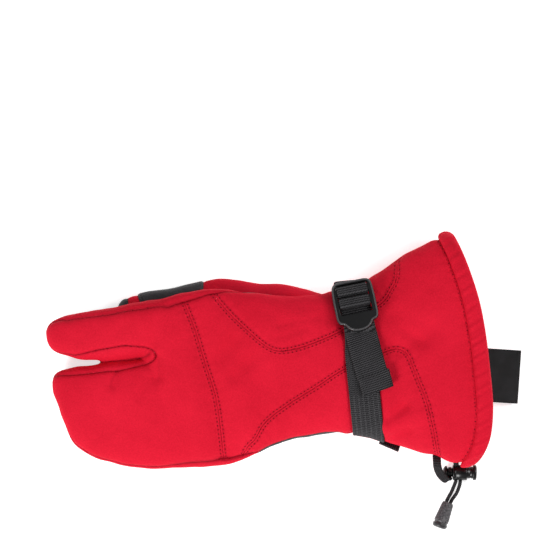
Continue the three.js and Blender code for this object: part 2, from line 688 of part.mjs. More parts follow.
// Elastic cord: two strands from the lock into the cord end, and the lead that goes up to the cuff.
function tube(points, radius, sides = 8, steps = 8) {
  const path = new THREE.CatmullRomCurve3(points.map((point) => new THREE.Vector3(...point)));
  const circle = Array.from({ length: sides }, (_, i) => new THREE.Vector2(
    radius * Math.cos((2 * Math.PI * i) / sides), radius * Math.sin((2 * Math.PI * i) / sides)));
  const options = { extrudePath: path, steps, bevelEnabled: false };
  return toSolid(new THREE.ExtrudeGeometry(new THREE.Shape(circle), options));
}

// The cord end: a tapered rubber plug with two rings and a flat bore for both strands. Its own
// axes are across the two strands, along the plug from its mouth, and square to both.
const END_MOUTH = new THREE.Vector3(97.4, -95.7, 3.9);
const END_FOOT = new THREE.Vector3(89.5, -111.3, 5.4);
const END_FACETS = 12;
const BORE_DEPTH = 14.6;
const BORE_CLEAR = 0.25;
const STRAND_OFFSET = 1.35;
const endProfile = [
  [0, 0], [3.4, 0], [3.5, 0.4], [4.7, 12.5], [4.9, 13], [4.4, 13.8], [4.4, 14.6], [5, 15.2],
  [4.6, 17], [3.4, 17.7], [0, 17.7],
];
const endAlong = END_FOOT.clone().sub(END_MOUTH).normalize();
const endAcross = new THREE.Vector3(-endAlong.y, endAlong.x, 0).normalize();
const endPlace = new THREE.Matrix4()
  .makeBasis(endAcross, endAlong, endAcross.clone().cross(endAlong))
  .setPosition(END_MOUTH);

const boreShape = new THREE.Shape();
boreShape.absarc(STRAND_OFFSET, 0, CORD_RADIUS + BORE_CLEAR, -Math.PI / 2, Math.PI / 2);
boreShape.absarc(-STRAND_OFFSET, 0, CORD_RADIUS + BORE_CLEAR, Math.PI / 2, 1.5 * Math.PI);
const endBore = new THREE.ExtrudeGeometry(boreShape, {
  depth: BORE_DEPTH + 1, curveSegments: 5, bevelEnabled: false,
});
endBore.translate(0, 0, -1);
endBore.rotateX(-Math.PI / 2);
const endPlug = toSolid(lathe(endProfile, END_FACETS).applyMatrix4(endPlace));
addPiece('cord_end', endPlug.subtract(toSolid(endBore.applyMatrix4(endPlace))), rubber);

const inEnd = (side, t) => new THREE.Vector3(side * STRAND_OFFSET, t, 0)
  .applyMatrix4(endPlace).toArray();
const strandRoutes = {
  drawcord_strand_a: [[104.1, -81.6, 4.8], [102.6, -84.6, 3.9], [100.2, -89, 3.4],
    [97.5, -92.9, 3.7], inEnd(-1, 1), inEnd(-1, 7), inEnd(-1, 14)],
  drawcord_strand_b: [[106.9, -81.9, 4.8], [106.1, -85, 3.9], [103.6, -90, 3.4],
    [100.2, -93.9, 3.7], inEnd(1, 1), inEnd(1, 7), inEnd(1, 14)],
};
for (const [name, route] of Object.entries(strandRoutes)) {
  addPiece(name, tube(route, CORD_RADIUS, 6), elastic);
}

const LEAD_RADIUS = 1.8;
const leadRoute = [[105.2, -71.2, 5.8], [105.1, -68, 7.6], [105, -64.1, 9.35]];
addPiece('drawcord_lead', tube(leadRoute, LEAD_RADIUS, 8, 3), elastic);

// The care label: a strip of folded satin that comes out of the cuff over the lower hem, one row
// per bend, with the height of its underside. a runs along it from its sewn end.
const LABEL_WIDTH = 35.5;
const LABEL_THICK = 0.8;
const LABEL_TURN = THREE.MathUtils.degToRad(-10);
const LABEL_SEAT = [101.5, -8.6];
const labelRows = table(['a', 'z'], [
  [0, 4.6],
  [8, 8.2],
  [29, 8.2],
  [36, 7],
  [44, 5.2],
  [52.5, 3.4],
]);
const label = loft(labelRows.map(({ a, z }) => (
  [[-1, 1], [1, 1], [1, 0], [-1, 0]].map(([side, face]) => {
    const across = side * LABEL_WIDTH / 2;
    return new THREE.Vector3(
      LABEL_SEAT[0] + a * Math.cos(LABEL_TURN) - across * Math.sin(LABEL_TURN),
      LABEL_SEAT[1] + a * Math.sin(LABEL_TURN) + across * Math.cos(LABEL_TURN),
      z + face * LABEL_THICK);
  }).reverse()
)));
addPiece('care_label', label, satin);

export default mitten;
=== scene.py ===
# Snowmobile mitten for the left hand, lying palm down: padded softshell and leather panels, a rolled
# cuff, a webbing strap in a ladder lock buckle, and a drawcord with its lock. Shapes are worked out
# in millimetres, in the part's own frame: +X from the fingertips to the cuff, +Y the thumb side.
import math

import bpy
import numpy as np
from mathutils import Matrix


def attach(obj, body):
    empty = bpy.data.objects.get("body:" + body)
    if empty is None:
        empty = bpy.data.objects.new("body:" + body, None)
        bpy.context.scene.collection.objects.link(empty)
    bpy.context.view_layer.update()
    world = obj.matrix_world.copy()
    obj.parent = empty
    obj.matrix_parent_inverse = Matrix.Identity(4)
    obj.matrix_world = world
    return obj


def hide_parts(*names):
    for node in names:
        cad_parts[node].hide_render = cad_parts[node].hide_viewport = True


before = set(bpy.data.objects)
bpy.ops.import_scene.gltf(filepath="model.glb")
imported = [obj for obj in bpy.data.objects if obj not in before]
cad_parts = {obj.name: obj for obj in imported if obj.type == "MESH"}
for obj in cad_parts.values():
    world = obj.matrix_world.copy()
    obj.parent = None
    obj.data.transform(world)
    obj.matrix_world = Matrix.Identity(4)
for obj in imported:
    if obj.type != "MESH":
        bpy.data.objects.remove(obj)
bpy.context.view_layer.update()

# Camera: straight above the mitten, with a long lens, turned a little against the mitten's length.
# The picture is square and as wide as VIEW_WIDTH at the height of the mitten's back.
VIEW_CENTRE = (1.7, 63.1)
VIEW_WIDTH = 369.6
VIEW_TURN = -6
CAMERA_HEIGHT = 2400
BACK_HEIGHT = 20
SENSOR_WIDTH = 36


def put(name, data):
    """An object of that data, linked into the scene."""
    made = bpy.data.objects.new(name, data)
    bpy.context.scene.collection.objects.link(made)
    return made


lens = bpy.data.cameras.new("camera")
lens.sensor_width = SENSOR_WIDTH
lens.lens = SENSOR_WIDTH * (CAMERA_HEIGHT - BACK_HEIGHT) / VIEW_WIDTH
camera = put("camera", lens)
camera.location = (VIEW_CENTRE[0] / 1000, VIEW_CENTRE[1] / 1000, CAMERA_HEIGHT / 1000)
camera.rotation_euler = (0, 0, math.radians(VIEW_TURN))
bpy.context.scene.camera = camera

# Light: a white studio all round, dark only round the camera straight above, so that flat glossy
# parts stay black. One soft light stands at the fingertips' lower side, and a weaker one at the
# cuff lifts the shadows there.
STUDIO_STRENGTH = 0.42
ZENITH_STRENGTH = 0.06
SOFTBOX_SIZE = 0.5


class Value:
    """One output of a node. Arithmetic with it adds math nodes to the same tree."""

    def __init__(self, steps, socket):
        self.steps = steps
        self.socket = socket

    def __add__(self, other):
        return self.steps.math("ADD", self, other)

    def __sub__(self, other):
        return self.steps.math("SUBTRACT", self, other)

    def __mul__(self, other):
        return self.steps.math("MULTIPLY", self, other)

    def __truediv__(self, other):
        return self.steps.math("DIVIDE", self, other)

    def __abs__(self):
        return self.steps.math("ABSOLUTE", self)


class Steps:
    """A node tree under construction, with one call for each kind of step."""

    def __init__(self, tree):
        self.tree = tree

    def feed(self, socket, value):
        """Links a value to a socket, or sets the socket to a plain number or colour."""
        if isinstance(value, Value):
            self.tree.links.new(value.socket, socket)
        else:
            socket.default_value = value

    def node(self, kind, settings=None, **inputs):
        """A new node. Its inputs are called by their names, or by i and their numbers."""
        made = self.tree.nodes.new("ShaderNode" + kind)
        for key, value in (settings or {}).items():
            setattr(made, key, value)
        for key, value in inputs.items():
            self.feed(made.inputs[int(key[1:]) if key[1:].isdigit() else key.replace("_", " ")], value)
        return made

    def output(self, kind, name=0, settings=None, **inputs):
        """One output of a new node, called by its name or number."""
        return Value(self, self.node(kind, settings, **inputs).outputs[name])

    def math(self, operation, a, b=0.0):
        """What a math node makes of a, or of a and b."""
        return self.output("Math", 0, {"operation": operation}, i0=a, i1=b)

    def step(self, value, low, high, out_low=0.0, out_high=1.0):
        """A soft step of value from out_low at low to out_high at high."""
        return self.output("MapRange", 0, {"interpolation_type": "SMOOTHSTEP"}, Value=value,
                           From_Min=low, From_Max=high, To_Min=out_low, To_Max=out_high)

    def ridge(self, value):
        """Round backs, one to each unit of value, which meet in sharp grooves."""
        return abs(self.math("SINE", value * math.pi))

    def off_middle(self, value, pitch):
        """How far value is from the middle of its repeat, as a share of the pitch."""
        return abs(self.math("FRACT", value / pitch) - 0.5)

    def colour(self, share, dark, light):
        """The colour between dark and light at share."""
        return self.output("Mix", 2, {"data_type": "RGBA"}, i0=share, i6=dark, i7=light)

    def noise(self, scale, detail=2.0, roughness=0.5):
        """Cloudy noise between 0 and 1, with scale waves to the metre."""
        return self.output("TexNoise", "Fac", Vector=self.output("TexCoord", "Object"), Scale=scale,
                           Detail=detail, Roughness=roughness)

    def parts(self, vector):
        """The three numbers of a vector."""
        return [Value(self, part) for part in self.node("SeparateXYZ", Vector=vector).outputs]

    def pattern(self):
        """The piece's own pattern coordinates, across and along, in millimetres."""
        return self.parts(self.output("UVMap", 0, {"uv_map": "pattern"}))[:2]

    def place(self):
        """Where a point is, along X and Y, in millimetres."""
        return [part * 1000.0 for part in self.parts(self.output("TexCoord", "Object"))[:2]]

    def mark(self, name):
        """The value of one of the piece's own point attributes."""
        return self.output("Attribute", "Fac", {"attribute_name": name})


class Finish(Steps):
    """A material under construction. The slot given to it is kept but not used."""

    def __init__(self, name, slot, **surface):
        self.material = bpy.data.materials.new(name)
        self.material.use_nodes = True
        super().__init__(self.material.node_tree)
        self.slot = slot
        self.surface = self.tree.nodes["Principled BSDF"].inputs
        for key, value in surface.items():
            self.surface[key.replace("_", " ")].default_value = value

    def paint(self, share, dark, light):
        """Gives the surface the colour between dark and light at share."""
        self.painted = self.colour(share, dark, light)
        self.feed(self.surface["Base Color"], self.painted)

    def relief(self, height, distance):
        """Height, in the unit of distance, shown as relief."""
        self.feed(self.surface["Normal"],
                  self.output("Bump", Height=height, Distance=distance, Strength=1.0))


studio = bpy.data.worlds.new("studio")
studio.use_nodes = True
sky = Steps(studio.node_tree)
upward = sky.parts(sky.output("TexCoord", "Generated"))[2]
backdrop = studio.node_tree.nodes["Background"].inputs
backdrop["Color"].default_value = (1, 1, 1, 1)
sky.feed(backdrop["Strength"], sky.step(upward, 0.86, 0.96, STUDIO_STRENGTH, ZENITH_STRENGTH))
bpy.context.scene.world = studio
bpy.context.scene.view_settings.view_transform = "Standard"


def softbox(name, place, aim, power):
    """A square light of that power at place, in metres, turned to look at aim."""
    light = bpy.data.lights.new(name, "AREA")
    light.size = SOFTBOX_SIZE
    light.energy = power
    holder = put(name, light)
    holder.location = place
    away = np.array(place) - np.array(aim)
    flat = math.hypot(away[0], away[1])
    holder.rotation_euler = (0, math.atan2(flat, away[2]), math.atan2(away[1], away[0]))


softbox("key_light", (-0.8, -0.85, 0.8), (0, 0, 0), 16.5)
softbox("cuff_light", (0.9, 0.2, 0.9), (0.05, 0, 0), 8)

# Floor: a white light table under the mitten, which keeps its shadow pale.
TABLE_GLOW = 0.62
bpy.ops.mesh.primitive_plane_add(size=6, location=(0, 0, -0.0003))
floor = bpy.context.object
floor.name = "floor"
paper = Finish("white_paper", None, Base_Color=(0.93, 0.93, 0.93, 1), Roughness=0.9,
               Specular_IOR_Level=0.0, Emission_Color=(1, 1, 1, 1), Emission_Strength=TABLE_GLOW)
floor.data.materials.append(paper.material)

# Drawcord: thin braided elastic, black. Two strands come out of the lock side by side, spread a
# little and run into the cord end. A short lead goes from the lock up to the cuff.
CORD_RADIUS = 1.2
LEAD_RADIUS = 1.8
CORD_SIDES = 14
END_MOUTH = np.array([97.4, -95.7, 3.9])
END_FOOT = np.array([89.5, -111.3, 5.4])
STRAND_OFFSET = 1.35
BRAID_PITCH = (4.2, 4.4)
BRAID_BLACK = (0.007, 0.007, 0.0075, 1)
BRAID_GREY = (0.045, 0.045, 0.048, 1)


def unit(vectors):
    """The vectors at length one."""
    return vectors / np.linalg.norm(vectors, axis=-1, keepdims=True)


def full_turn(count):
    """Angles all the way round, in count equal steps."""
    return 2 * np.pi * np.arange(count) / count


def cubic(a, b, c, d, u):
    """The point at share u of the smooth curve from b to c, whose slope at each of them is half of
    the step between its neighbours."""
    return 0.5 * (2 * b + (c - a) * u + (2 * a - 5 * b + 4 * c - d) * u**2
                  + (3 * b - a - 3 * c + d) * u**3)


def smooth_route(points, count):
    """Points on the smooth curve through the given ones."""
    points = np.asarray(points, float)
    ends = np.vstack([2 * points[0] - points[1], points, 2 * points[-1] - points[-2]])
    t = np.linspace(0, len(points) - 1, count)
    k = np.minimum(t.astype(int), len(points) - 2)
    return cubic(ends[k], ends[k + 1], ends[k + 2], ends[k + 3], (t - k)[:, None])


def lengths(route):
    """The distance along a route at each of its points."""
    return np.append(0, np.cumsum(np.linalg.norm(np.diff(route, axis=0), axis=1)))


def piece_from(name, points, faces, finish, body="mitten", replaces=True):
    """A smooth-shaded piece from points in millimetres, which rides on body and stands for the
    solid of its own name, where there is one."""
    mesh = bpy.data.meshes.new(name)
    mesh.from_pydata((points / 1000).tolist(), [], faces)
    mesh.polygons.foreach_set("use_smooth", np.ones(len(mesh.polygons), bool))
    mesh.materials.append(finish.material)
    piece = put(name, mesh)
    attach(piece, body)
    if replaces:
        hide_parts(name)
    return piece


def ring_net(rows, columns):
    """Faces between rows of points, each row a closed ring of columns, numbered row by row."""
    r, c = np.meshgrid(np.arange(rows - 1), np.arange(columns), indexing="ij")
    e = (c + 1) % columns
    return np.stack([r * columns + c, r * columns + e, (r + 1) * columns + e,
                     (r + 1) * columns + c], axis=-1).reshape(-1, 4)


def capped_net(rows, columns):
    """The same faces, and one that closes each end."""
    caps = [list(range(columns))[::-1], list(range((rows - 1) * columns, rows * columns))]
    return ring_net(rows, columns).tolist() + caps


def closed_rings(name, grid, finish, across=None, along=None, body="mitten", replaces=True):
    """A piece over rings of points, each end closed by one face. across and along, in millimetres,
    are the pattern's two coordinates, one for each column and one for each row."""
    rows, columns = grid.shape[:2]
    piece = piece_from(name, grid.reshape(-1, 3), capped_net(rows, columns), finish, body, replaces)
    if across is not None:
        r, c = divmod(ring_net(rows, columns)[:, 0], columns)
        wide = np.append(across, across[-1] + (across[-1] - across[-2]))
        u = np.stack([wide[c], wide[c + 1], wide[c + 1], wide[c]], axis=1).ravel()
        v = np.stack([along[r], along[r], along[r + 1], along[r + 1]], axis=1).ravel()
        pattern = piece.data.uv_layers.new(name="pattern")
        flat = np.zeros((len(piece.data.loops), 2))
        flat[:len(u)] = np.stack([u, v], axis=1)
        pattern.data.foreach_set("uv", flat.ravel())
    return piece


braid = Finish("braided_elastic", "elastic_black", Roughness=0.75, Specular_IOR_Level=0.2)
across, along = (way * pitch for way, pitch in zip(braid.pattern(), BRAID_PITCH))
plait = braid.math("MAXIMUM", braid.math("SINE", across + along), braid.math("SINE", across - along))
# The raised strands of the black braid are painted grey, as a painted sheen.
braid.paint(braid.step(plait, 0.3, 1.0), BRAID_BLACK, BRAID_GREY)
braid.relief(plait, 0.0002)


def round_cord(name, route, radius):
    """A piece of braided cord along a route."""
    ahead = unit(np.gradient(route, axis=0))
    aside = unit(np.cross(ahead, [0, 0, 1]))
    above = np.cross(aside, ahead)
    angle = -full_turn(CORD_SIDES)[None, :, None]
    grid = route[:, None] + radius * (aside[:, None] * np.cos(angle) + above[:, None] * np.sin(angle))
    return closed_rings(name, grid, braid, radius * full_turn(CORD_SIDES), lengths(route))


end_axis = unit(END_FOOT - END_MOUTH)
end_aside = unit(np.array([-end_axis[1], end_axis[0], 0]))
strand_paths = {
    # the side of the cord end where the strand runs in, and its path from the lock to there
    "drawcord_strand_a": (-1, [(104.1, -81.6, 4.8), (102.6, -84.6, 3.9), (100.2, -89, 3.4),
                               (97.5, -92.9, 3.7)]),
    "drawcord_strand_b": (1, [(106.9, -81.9, 4.8), (106.1, -85, 3.9), (103.6, -90, 3.4),
                              (100.2, -93.9, 3.7)])}
strands = []
for name, (side, path) in strand_paths.items():
    inside = [END_MOUTH + t * end_axis + side * STRAND_OFFSET * end_aside for t in (1, 7, 14.6)]
    route = smooth_route(path + inside, 40)
    strands.append((round_cord(name, route, CORD_RADIUS), route))
lead_path = [(105.2, -71.2, 5.8), (105.1, -68, 7.6), (105, -64.1, 9.35)]
round_cord("drawcord_lead", smooth_route(lead_path, 12), LEAD_RADIUS)

# Cord end: a tapered plug of grey rubber, moulded with fine lengthwise ribs and two rings near its
# foot, with a flat mouth that takes both strands. They are pressed into it.
end_rings = np.array([
    # half width, half height, distance from the mouth, share of ribs
    (0.3, 0.2, 4.0, 0), (2.4, 1.2, 4.0, 0), (2.8, 1.5, 3.6, 0), (2.8, 1.5, 0.5, 0), (3.0, 1.9, 0.0, 0),
    (3.3, 3.1, 0.0, 0), (3.5, 3.5, 0.3, 0), (3.6, 3.6, 0.8, 0.3), (3.75, 3.75, 1.6, 1), (4.0, 4.0, 5, 1),
    (4.35, 4.35, 9, 1), (4.6, 4.6, 11.6, 1), (4.75, 4.75, 12.3, 0.2), (4.9, 4.9, 12.7, 0),
    (4.9, 4.9, 13.1, 0), (4.6, 4.6, 13.6, 0), (4.4, 4.4, 13.9, 0), (4.4, 4.4, 14.4, 0),
    (4.6, 4.6, 14.8, 0), (4.95, 4.95, 15.2, 0), (5.0, 5.0, 15.6, 0), (4.8, 4.8, 16.4, 0),
    (4.5, 4.5, 17.1, 0), (3.9, 3.9, 17.5, 0), (3.0, 3.0, 17.7, 0), (0.3, 0.3, 17.7, 0)])
END_SIDES = 96
END_RIBS = 24
RIB_HEIGHT = 0.16
RUBBER_GREY = (0.10, 0.094, 0.102, 1)
RUBBER_DARK = (0.022, 0.021, 0.023, 1)


def along_axis(profile, start, ahead, aside, angle, ribs=0):
    """Rings about an axis: each row of the profile is a half width, a half height, a distance
    along the axis and a share of the ribs, which lift the surface by a cosine of the angle."""
    above = np.cross(aside, ahead)
    lift = 1 + profile[:, 3, None] * RIB_HEIGHT / 4 * np.cos(ribs * angle)[None]
    wide = profile[:, 0, None] * lift * np.cos(angle)
    high = profile[:, 1, None] * lift * np.sin(angle)
    return (start + profile[:, 2, None, None] * ahead + wide[..., None] * aside
            + high[..., None] * above)


end_grid = along_axis(end_rings, END_MOUTH, end_axis, end_aside, -full_turn(END_SIDES), END_RIBS)
rubber = Finish("soft_rubber", "rubber_grey", Roughness=0.42)
speckle = rubber.noise(900, 3)
x, y = rubber.place()
from_mouth = x * end_axis[0] + y * end_axis[1] - END_MOUTH[:2] @ end_axis[:2]
lit = rubber.step(speckle, 0.3, 0.7) * rubber.step(from_mouth, 13.4, 14.2, 1.0, 0.0)
rubber.paint(lit, RUBBER_DARK, RUBBER_GREY)
rubber.relief(speckle, 0.00006)
cord_end = closed_rings("cord_end", end_grid, rubber)

for (strand, route), mates in zip(strands, [[cord_end], []]):
    (route[0] / 1000).tolist()
    "object" if not mates else "fitting"
    (route / 1000).tolist()

# Cord lock: a glossy moulded barrel with a round, necked end, and a button on a spring that slides
# into it. Both are a little wider than high; the button has its own body, which the joint presses in.
LOCK_AXIS_HEIGHT = 4.6
LOCK_START = np.array([95.7, -75.4, LOCK_AXIS_HEIGHT])
LOCK_TURN = math.radians(-6)
LOCK_SIDES = 64
LOCK_WIDENING = 1.12
PLASTIC_BLACK = (0.004, 0.004, 0.0045, 1)
# The colour of the painted highlight on the top of the buckle's lip.
PLASTIC_HIGHLIGHT = (0.075, 0.072, 0.075, 1)

lock_ahead = np.array([math.cos(LOCK_TURN), math.sin(LOCK_TURN), 0])
lock_aside = np.array([-math.sin(LOCK_TURN), math.cos(LOCK_TURN), 0])
plastic = Finish("moulded_plastic", "plastic_black", Specular_IOR_Level=0.38)
# Where a piece marks its points, the black plastic is painted lighter, as a painted highlight along the top
# of the buckle's lip.
plastic.paint(plastic.mark("edge"), PLASTIC_BLACK, PLASTIC_HIGHLIGHT)
plastic.relief(plastic.noise(500), 0.00003)
plastic.feed(plastic.surface["Roughness"], plastic.step(plastic.noise(60, 3), 0.3, 0.7, 0.26, 0.4))


def lock_part(name, body, profile):
    """A piece round the lock's axis: each row of the profile is a half height and a distance."""
    profile = np.array(profile, float)
    rings = np.column_stack([LOCK_WIDENING * profile[:, 0], profile, 0 * profile[:, 0]])
    grid = along_axis(rings, LOCK_START, lock_ahead, lock_aside, -full_turn(LOCK_SIDES))
    closed_rings(name, grid, plastic, body=body)


lock_part("cord_lock_body", "mitten", [
    (0.05, 0), (1.4, 0.12), (2.5, 0.55), (3.4, 1.15), (3.95, 1.75), (4.15, 2.3), (4.1, 2.65),
    (3.7, 2.95), (2.9, 3.25), (2.4, 3.5), (2.3, 3.8), (2.3, 6.0), (2.45, 6.3), (3.3, 6.55),
    (4.2, 6.75), (4.5, 6.95), (4.6, 7.3), (4.6, 8.6), (4.45, 8.75), (4.45, 9.1), (4.6, 9.25),
    (4.6, 15.6), (4.5, 16), (4.25, 16.2), (4.1, 16.2), (3.95, 16.05), (3.9, 15.6), (3.9, 7.3),
    (3.7, 7.2), (0.05, 7.2)])
lock_part("cord_lock_button", "lock_button", [
    (0.05, 11), (3.3, 11), (3.55, 11.2), (3.55, 17.9), (3.4, 18.1), (3.4, 18.5), (3.55, 18.7),
    (3.6, 20.05), (4.1, 20.1), (4.5, 20.25), (4.6, 20.6), (4.6, 21.6), (4.4, 22.1), (3.9, 22.5),
    (2.9, 22.68), (2.4, 22.6), (2.1, 22.35), (0.05, 22.3)])

# Lock tape: narrow woven tape, folded round the lock's neck, with its ends sewn into the seam
# where the heel panel meets the cuff.
TAPE_THICK = 1.1
NECK_MIDDLE = 4.9
NECK_RING = 2.3 + 0.3 + TAPE_THICK / 2


def band_outline(count, power, edge):
    """Points round the section of a flat band, from -1 to 1 both ways: powers of the distance from
    its middle round its sides."""
    span = np.linspace(-1, 1, count)
    top = np.stack([span, (1 - np.abs(span) ** power) ** edge], axis=1)
    return np.vstack([top, (top[::-1] * (1, -1))[1:-1]])


def flat_band(route, aside, width, thick):
    """Rings of a flat band on a route, aside by its width, which may differ from row to row."""
    ahead = unit(np.gradient(route, axis=0))
    above = unit(np.cross(ahead, aside))
    wide = unit(np.cross(above, ahead))
    outline = band_outline(11, 16, 0.35)[None] / 2
    return (route[:, None] + wide[:, None] * outline[..., :1] * np.reshape(width, (-1, 1, 1))
            + above[:, None] * outline[..., 1:] * thick)


neck_middle = LOCK_START + NECK_MIDDLE * lock_ahead
ring_angles = np.radians([182, 215, 250, 290, 330, 370, 405, 440])
neck_ring = (neck_middle + NECK_RING * np.cos(ring_angles)[:, None] * lock_aside
             + NECK_RING * np.sin(ring_angles)[:, None] * np.array([0, 0, 1]))
tape_rows = np.array([
    # x, y, z, turn of the width from +X, width
    (92.6, -62.8, 14, -8, 5.5), (92.4, -66.6, 15.6, -8, 5.5), (92.3, -70, 15.2, -8, 5.5),
    (92.9, -73.4, 13, -2, 5.5),
    (94.7, -77.2, 10.6, 12, 5.5), (97.7, -80.5, 8.3, 22, 5), (99.9, -80.2, 6.4, 8, 3.4)])
neck_rows = np.column_stack([neck_ring, np.full(len(neck_ring), -6.0), np.full(len(neck_ring), 2.4)])
tape_smooth = smooth_route(np.vstack([tape_rows, neck_rows]), 90)
tape_turn = np.radians(tape_smooth[:, 3])
tape_wide = np.stack([np.cos(tape_turn), np.sin(tape_turn), 0 * tape_turn], axis=1)
WEB_DARK = (0.004, 0.004, 0.0045, 1)
WEB_LIGHT = (0.064, 0.061, 0.066, 1)


def webbing_finish(name, rib, pick):
    """Woven webbing: rows of picks across it, broken into short floats by ribs of that width,
    and set a little off in every second rib. Heights are the picks' round backs times the ribs'.
    The high backs are painted lighter, as a painted sheen that is patchy at random, and the
    hollows darker, as painted shade."""
    weave = Finish(name, "webbing_black", Roughness=0.7, Specular_IOR_Level=0.2)
    across, along = weave.pattern()
    column = across / rib
    odd = weave.math("MODULO", weave.math("FLOOR", column), 2.0)
    row = along / pick + odd * 0.14
    height = weave.math("POWER", weave.ridge(row), 0.8) * (weave.ridge(column) * 0.45 + 0.55)
    patchy_sheen = weave.step(weave.noise(90, 3), 0.1, 0.9, 0.6, 1.0)
    # Painted sheen on the picks' raised backs and painted shade in the hollows; random noise makes the sheen
    # patchy.
    weave.paint(weave.step(height, 0.3, 0.95) * patchy_sheen, WEB_DARK, WEB_LIGHT)
    weave.relief(height, 0.0004)
    return weave


tape_weave = webbing_finish("narrow_tape", 0.9, 1.0)
tape_grid = flat_band(tape_smooth[:, :3], tape_wide, tape_smooth[:, 4], TAPE_THICK)
closed_rings("lock_tape", tape_grid, tape_weave, lengths(tape_grid[10]), lengths(tape_smooth[:, :3]))

# Hand: the padded shell of the hand and the gauntlet, cut from softshell on the back and leather
# in the palm, with a softshell wall between them round the fingers. Its form is the union of three
# lofts of flat ovals: the pocket of three fingers, the index finger, and the body with the cuff.
SHELL_WALL = 3.8
ROUNDNESS = 2.6
CUFF_X = 108
CUFF_BOW = 13
CUFF_MIDDLE_Y = 5
CUFF_HALF = 74.5
BOW_START_X = 60
SHELL_END = 2.5
NET_SIZE = 0.92
LOFT_SIDES = 96
FLOOR = 0.02  # the height of the lowest points

lie_rows = np.array([
    # x, height of the middle at the little finger edge, and at the index edge
    (-157, 8.5, 16), (-143, 9, 17.5), (-117, 9.3, 27), (-104, 9.3, 31.5), (-90, 9.3, 34.5),
    (-36, 9.3, 34.5), (-5, 10, 31), (15, 11, 27), (33, 13, 23.5), (48, 15, 20), (60, 16.5, 18.5),
    (72, 18, 18), (85, 19.5, 19.5), (108, 21, 21)])
LIE_LOW_Y = -55
LIE_HIGH_Y = 60
pocket_rows = np.array([
    # x, lower edge, upper edge, half thickness
    (-155.9, 4, 12, 3), (-153.6, -4, 16.4, 6.2), (-151, -13.5, 18.2, 8), (-147, -27, 19.4, 9.8),
    (-141.4, -34.6, 20.2, 11.4), (-134.8, -39.3, 20.4, 12.4), (-113.4, -48.7, 20.7, 13.8),
    (-98.6, -52, 20.7, 14), (-84, -53.6, 20.7, 13.6), (-70, -53, 20, 11)])
index_rows = np.array([
    (-155.9, 38, 45, 3), (-154.3, 35, 48.3, 5.5), (-150, 30.8, 51.6, 8.5), (-143, 27.5, 54, 10.6),
    (-131, 23.7, 55.4, 11.8), (-117, 22.6, 56.5, 12.2), (-98, 22.4, 58, 12.3), (-80, 22.4, 58.4, 12),
    (-70, 23, 58, 10)])
body_rows = np.array([
    (-94, -51, 58, 3), (-90, -52.6, 58.5, 8), (-86, -53.2, 58.8, 12.2), (-78, -54.1, 59.3, 14.2),
    (-64, -54.5, 61, 14.4),
    (-50, -55.2, 62, 14.4), (-37, -53.4, 60.9, 14.5), (-24.7, -49.6, 58, 14.8),
    (-12, -45.2, 55.6, 15.2), (16, -41.4, 51.4, 16.2), (30, -41.8, 51.2, 16.4),
    (41, -42, 52.2, 16.4), (50, -44.6, 54, 16.6), (59, -48.8, 56.8, 17.4), (70, -55.4, 63.8, 18.6),
    (83, -62, 71.2, 20), (95, -67, 75.6, 21), (108, -69.5, 79.5, 21.6), (116, -69.5, 79.5, 21.6)])


def smooth_rows(rows, x):
    """The columns of a table at x: cubics through its rows, whose slope at a row is the harmonic
    mean of the slopes on its two sides, so that no column swings beyond its rows."""
    xs, ys = rows[:, 0], rows[:, 1:]
    width = np.diff(xs)[:, None]
    slope = np.diff(ys, axis=0) / width
    same = slope[1:] * slope[:-1] > 0
    total = np.where(same, slope[1:] + slope[:-1], 1)
    lean = np.vstack([slope[:1], np.where(same, 2 * slope[1:] * slope[:-1] / total, 0), slope[-1:]])
    x = np.atleast_1d(x)
    k = np.clip(np.searchsorted(xs, x) - 1, 0, len(xs) - 2)
    w = width[k]
    t = np.clip((x[:, None] - xs[k, None]) / w, 0, 1)
    return (ys[k] * (1 + 2 * t) * (1 - t) ** 2 + ys[k + 1] * t**2 * (3 - 2 * t)
            + lean[k] * w * t * (1 - t) ** 2 - lean[k + 1] * w * t**2 * (1 - t))


def middle_height(x, y):
    """The height of the hand's middle surface, straight between its two edges."""
    x, y = np.broadcast_arrays(x, y)
    low = np.interp(x, lie_rows[:, 0], lie_rows[:, 1])
    high = np.interp(x, lie_rows[:, 0], lie_rows[:, 2])
    return low + (high - low) * (y - LIE_LOW_Y) / (LIE_HIGH_Y - LIE_LOW_Y)


def cuff_bow(x, y):
    """How far a section is bent towards the cuff: most in the middle of its width, growing from
    the wrist to the cuff."""
    across = (y - CUFF_MIDDLE_Y) / CUFF_HALF
    share = np.clip((x - BOW_START_X) / (CUFF_X - BOW_START_X), 0, 1)
    return CUFF_BOW * share * (1 - np.abs(across) ** np.where(across < 0, 5, 2))


def oval(value):
    """A cosine or sine raised to 2 / ROUNDNESS, which makes a circle into a flattened oval."""
    return np.sign(value) * np.abs(value) ** (2 / ROUNDNESS)


def oval_rings(rows, stations, sides, height=middle_height):
    """Rings of flattened ovals across X at the stations, round the middle surface."""
    low, high, thick = smooth_rows(rows, stations)[:, :3].T[..., None]
    angle = full_turn(sides)[None]
    y = (low + high) / 2 + (high - low) / 2 * oval(np.cos(angle))
    x = stations[:, None] + 0 * y
    return np.stack([x + cuff_bow(x, y), y, height(x, y) + thick * oval(np.sin(angle))], axis=-1)


def stations_of(rows):
    """Where the rings stand: close together at the tip, and a few millimetres apart behind it."""
    start, end = rows[0, 0], rows[-1, 0]
    return np.append(start + (end - start) * np.linspace(0, 1, 90)[:-1] ** 1.5, end)


def coordinates(mesh):
    """Where a mesh's points are."""
    flat = np.empty(3 * len(mesh.vertices))
    mesh.vertices.foreach_get("co", flat)
    return flat.reshape(-1, 3)


